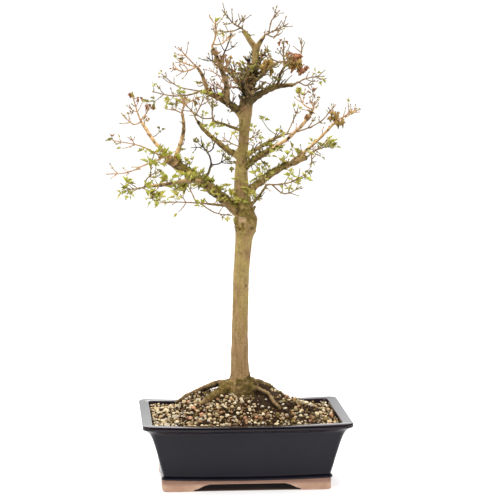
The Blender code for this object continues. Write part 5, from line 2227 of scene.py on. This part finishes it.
# Sprays with places of their own: x, y and z in mm, the leaves' number, length in mm, and tint
SPRIGS = [Sprig(*row) for row in (
    (-159, -10, 567, 3, 10, RUST), (-151, -23, 560, 4, 10, RUST), (-139, 1, 549, 3, 11, RUST),
    (-129, 4, 547, 3, 10, RUST), (-138, -6, 531, 3, 8, BRONZE), (142, 63, 535, 7, 15, BRONZE),
    (34, -20, 616, 8, 17, BRONZE), (70, -5, 622, 9, 20, RUST), (76, -8, 614, 6, 18, BRONZE),
    (90, 20, 605, 5, 14, RUST), (85, -65, 537, 4, 10, RUST), (76, -48, 562, 5, 12.5, YELLOW),
    (-15, 30, 618, 3, 9, BRONZE), (111, 50, 590, 3, 11.25, YELLOW), (32, 40, 522, 5, 12.5, FRESH),
    (-169, -101, 442, 5, 15, FRESH), (-141, -115, 434, 4, 16.25, FRESH), (-93, 60, 407, 6, 17.5, YELLOW),
    (-92, -70, 430, 4, 16.25, FRESH), (-102, -74, 431, 4, 15, YELLOW), (-81, -76, 447, 5, 16.25, FRESH),
    (-62, -21, 435, 5, 15, YELLOW), (-56, 66, 394, 5, 17.5, FRESH), (81, -83, 446, 5, 15, FRESH),
    (52, -63, 429, 4, 15, FRESH), (129, 48, 485, 6, 17.5, FRESH), (119, 40, 481, 4, 15, OLIVE),
    (138, 46, 482, 4, 13.75, FRESH), (-114, -44, 474, 6, 17.5, FRESH), (-121, -40, 467, 4, 15, YELLOW),
    (-100, -36, 457, 4, 15, OLIVE), (-81, -29, 448, 6, 17.5, FRESH), (-63, -23, 446, 5, 15, YELLOW),
    (-46, -17, 433, 5, 15, FRESH), (-25, -12, 429, 4, 12.5, YELLOW), (-17, -10, 417, 6, 13.75, YELLOW),
    (-5, -12, 407, 5, 12.5, FRESH), (-49, 20, 513, 5, 15, FRESH), (-40, -40, 518, 5, 15, FRESH),
    (-81, 41, 549, 4, 13.75, FRESH), (-99, -32, 546, 4, 13.75, OLIVE), (-130, -55, 574, 3, 11.25, FRESH),
    (-120, -27, 512, 3, 12.5, OLIVE), (5, -14, 417, 5, 12.5, YELLOW), (33, -36, 486, 5, 15, OLIVE),
    (45, -41, 483, 5, 16.25, FRESH), (66, 20, 471, 4, 15, FRESH), (-136, -60, 466, 5, 16.25, FRESH),
    (-109, -94, 446, 5, 16.25, FRESH), (-63, 87, 421, 4, 15, FRESH), (74, 30, 480, 4, 13.75, OLIVE),
    (83, 31, 470, 5, 15, FRESH), (-17, 30, 469, 3, 12.5, OLIVE), (-54, 10, 485, 3, 12.5, FRESH),
    (-143, -61, 486, 4, 15, FRESH), (-94, -66, 568, 3, 12.5, FRESH), (-53, -20, 487, 3, 11.25, OLIVE),
    (9, -14, 434, 4, 11.25, FRESH), (17, -20, 446, 4, 12.5, YELLOW), (27, -10, 451, 4, 13.75, FRESH),
    (-85, -60, 440, 4, 15, OLIVE), (-11, -14, 439, 3, 11.25, FRESH), (-66, -20, 575, 3, 11.25, FRESH),
    (-3, 20, 608, 3, 8, BRONZE), (-31, -20, 616, 3, 10, BRONZE), (12, -16, 595, 4, 12.5, OLIVE),
    (-43, -60, 617, 3, 12, BROWN_BUDS), (-34, -50, 611, 4, 12, BROWN_BUDS),
    (-25, -30, 604, 4, 12, BROWN_BUDS), (-38, -55, 599, 3, 11, BROWN_BUDS), (-14, 0, 589, 4, 12, BROWN_BUDS),
    (-47, -60, 607, 3, 10, BROWN_BUDS), (-8, -10, 578, 3, 11, BROWN_BUDS), (-26, -20, 584, 3, 10, BROWN_BUDS),
    (-18, -10, 569, 3, 10, BROWN_BUDS), (-52, -20, 555, 3, 9, BROWN_BUDS), (28, 10, 574, 3, 11, BROWN_BUDS),
    (52, 30, 585, 3, 10, BROWN_BUDS), (-11, -20, 663, 3, 8, BROWN_BUDS), (1, 10, 663, 3, 8, BROWN_BUDS),
    (33, 0, 650, 3, 8, BROWN_BUDS), (-161, -10, 535, 3, 8, BROWN_BUDS), (-189, -60, 504, 3, 8, BROWN_BUDS),
    (-90, -60, 613, 3, 8, BROWN_BUDS), (-69, -60, 604, 3, 10, BROWN_BUDS), (111, 60, 554, 3, 8, BROWN_BUDS),
    (91, -65, 538, 3, 9, BROWN_BUDS), (13, -20, 462, 4, 11, OLIVE), (21, -25, 458, 4, 11, YELLOW),
    (32, -10, 460, 4, 10, OLIVE), (22, -10, 440, 4, 10, OLIVE), (42, 0, 445, 4, 11, FRESH),
    (3, -14, 426, 4, 10, YELLOW), (10, -14, 420, 5, 11, YELLOW), (-92, -30, 482, 4, 11, OLIVE),
    (-84, -30, 466, 4, 12, YELLOW), (-72, -26, 454, 4, 12, YELLOW), (-56, -20, 441, 4, 11, OLIVE),
    (-107, -40, 466, 4, 12, YELLOW), (-126, -44, 480, 5, 13, YELLOW), (-36, -16, 426, 4, 11, YELLOW),
    (35, -15, 603, 6, 16, BRONZE), (148, 60, 525, 6, 17, BRONZE), (138, 60, 531, 5, 16, BRONZE),
    (-92, -44, 447, 5, 13, YELLOW), (-85, -50, 438, 5, 14, FRESH), (-76, -44, 442, 5, 13, YELLOW),
    (-67, -40, 433, 5, 13, YELLOW), (-59, -36, 431, 4, 13, FRESH), (-51, -32, 423, 4, 13, YELLOW),
    (-44, -28, 419, 4, 12, YELLOW), (-36, -24, 412, 4, 12, YELLOW), (-97, -75, 434, 5, 15, FRESH),
    (-70, -40, 443, 4, 14, OLIVE), (-133, -116, 428, 6, 17, FRESH), (-124, -110, 422, 5, 15, YELLOW),
    (-139, -116, 423, 4, 14, YELLOW), (-88, -60, 424, 4, 14, YELLOW), (-29, -20, 411, 4, 12, YELLOW),
    (71, -10, 612, 8, 18, BRONZE), (80, -6, 603, 5, 16, RUST), (67, -12, 603, 6, 16, OLIVE),
    (30, -20, 609, 6, 16, BRONZE), (38, -14, 598, 5, 14, OLIVE), (93, -70, 565, 4, 12, BROWN_BUDS),
    (-121, -50, 483, 5, 14, FRESH), (-75, -30, 468, 4, 12, YELLOW), (37, -26, 474, 4, 12, YELLOW),
    (25, -24, 477, 4, 12, OLIVE), (-20, 0, 537, 3, 9, OLIVE), (6, -12, 405, 4, 11, YELLOW),
    (17, -10, 411, 4, 10, YELLOW), (-11, -12, 407, 4, 11, YELLOW),
)]


@dataclass
class Foot:
    """The bare clay ring of the frame, in its finish."""

    def build(self) -> None:
        """Dresses the frame's own ring."""
        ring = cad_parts["pot_foot"]
        ring.data.materials.clear()
        ring.data.materials.append(Clay().material())
        LOG.info("pot_foot: dressed")


@dataclass
class Studio:
    """A pale floor, soft lights, a white surround and the camera."""

    floor_size: float = 14.0
    floor_front: float = -0.5
    floor_glow: float = 0.38
    under_glow: float = 0.01
    floor_shade: Colour = (98, 70, 54)
    floor_tints: tuple[Colour, Colour] = ((240, 240, 240), (245, 245, 245))
    foot_half: Pair = (118.0, 78.0)
    shade_ease: float = 3.0
    camera_place: tuple[float, float, float] = (-0.21854, -2.95001, 0.672)
    camera_way: tuple[float, float, float] = (0.08071, 0.99039, -0.11227)
    lens: float = 148.1
    lights: tuple[tuple[str, tuple[float, float, float], float, float], ...] = (
        ("key", (-1.5, -2.1, 1.9), 1.1, 46.0),
        ("fill", (2.0, -1.6, 1.2), 1.4, 17.0),
        ("top", (0.1, 0.3, 2.4), 1.6, 44.0),
        ("back", (-0.6, 2.2, 1.6), 1.6, 26.0),
    )

    def floor(self) -> None:
        """Lays the floor, with a painted shadow under the pot's foot."""
        bm = bmesh.new()
        bmesh.ops.create_grid(bm, x_segments=2, y_segments=2, size=self.floor_size / 2)
        bmesh.ops.translate(bm, verts=bm.verts, vec=(0, self.floor_size / 2 + self.floor_front, 0))
        paint = Painter("pale_floor")
        patch = paint.mask(MOTTLE, 3, 0.3, 0.7)
        hidden = self.under_pot(paint)
        pale = paint.mix(patch, *self.floor_tints)
        # Painted shadow: under the foot's ring the floor turns dark brown and almost stops glowing
        colour = paint.mix(hidden, pale, self.floor_shade)
        paint.shader.inputs["Emission Color"].default_value = (1, 1, 1, 1)
        glow = paint.between(hidden, 0, 1, self.floor_glow, self.under_glow)
        paint.tree.links.new(glow, paint.shader.inputs["Emission Strength"])
        material = paint.finish(colour, 0.8, paint.bump(patch, 0.02, 1.0), Specular_IOR_Level=0.1)
        mesh_object("floor", bm, material)

    def under_pot(self, paint: Painter) -> Socket:
        """Where on the floor the foot's ring shuts the light out.

        Args:
            paint: The floor's finish.

        Returns:
            The share from 0 to 1.
        """
        apart = paint.add("ShaderNodeSeparateXYZ", {0: paint.place}).outputs
        made = 1.0
        for axis, middle, half in zip("XY", PLAN_OFFSET, self.foot_half):
            for side in (1, -1):
                edge = middle + side * half * MM
                ease = side * self.shade_ease * MM
                made = paint.times(paint.between(apart[axis], edge + ease, edge - ease), made)
        return made

    def surround(self) -> None:
        """Makes the world: white to the camera, and to all else softer from the front than from behind."""
        world = bpy.data.worlds.new("studio")
        world.use_nodes = True
        bpy.context.scene.world = world
        nodes = Nodes(world.node_tree)
        world.node_tree.nodes.clear()
        way = nodes.add("ShaderNodeTexCoord").outputs["Generated"]
        apart = nodes.add("ShaderNodeSeparateXYZ", {0: way}).outputs
        path = nodes.add("ShaderNodeLightPath").outputs
        front = nodes.between(apart["Z"], 0.02, 0.4, 0.04, 0.5)
        soft_fill = nodes.between(apart["Y"], -0.15, 0.25, front, 1.04)
        mirrored = nodes.between(apart["Y"], 0.3, 0.8, nodes.between(apart["Z"], 0.02, 0.5, 0.03, 0.3), 1.45)
        strength = nodes.mix(path["Is Glossy Ray"], soft_fill, mirrored)
        soft = nodes.add("ShaderNodeBackground", {"Color": (1, 1, 1, 1), "Strength": strength})
        white = nodes.add("ShaderNodeBackground", {"Color": (1, 1, 1, 1), "Strength": 1.05})
        inputs = {0: path["Is Camera Ray"], 1: soft.outputs[0], 2: white.outputs[0]}
        mixed = nodes.add("ShaderNodeMixShader", inputs)
        nodes.add("ShaderNodeOutputWorld", {"Surface": mixed.outputs[0]})

    def light(self, name: str, place: tuple[float, float, float], size: float, power: float) -> None:
        """Hangs one square soft light, turned to the middle of the tree.

        Args:
            name: The light's name.
            place: Its place in metres.
            size: Its side in metres.
            power: Its strength in watts.
        """
        data = bpy.data.lights.new(name, "AREA")
        data.size = size
        data.energy = power
        lamp = add_object(name, data)
        lamp.location = place
        lamp.rotation_euler = (Vector((0, 0, 0.3)) - lamp.location).to_track_quat("-Z", "Y").to_euler()

    def camera(self) -> None:
        """Stands the camera where the photograph was taken from."""
        data = bpy.data.cameras.new("camera")
        data.lens = self.lens
        data.sensor_width = 36.0
        camera = add_object("camera", data)
        camera.location = self.camera_place
        camera.rotation_euler = Vector(self.camera_way).to_track_quat("-Z", "Y").to_euler()
        bpy.context.scene.camera = camera

    def build(self) -> None:
        """Sets up the floor, the surround, the lights and the camera."""
        self.floor()
        self.surround()
        for row in self.lights:
            self.light(*row)
        self.camera()
        bpy.context.scene.view_settings.view_transform = "Standard"


def main() -> None:
    """Builds the bonsai from its pot to its leaves."""
    logging.basicConfig(level=logging.INFO, format="%(name)s: %(message)s")
    Studio().build()
    Pot().build()
    Foot().build()
    mound = Mound()
    growth = Growth()
    growth.grow()
    mossy, limbs = Wood(growth, mound).build()
    mound.soil()
    mound.gravel()
    Crown(growth).build(limbs, mossy + mound.mossy())


if __name__ == "__main__":
    main()
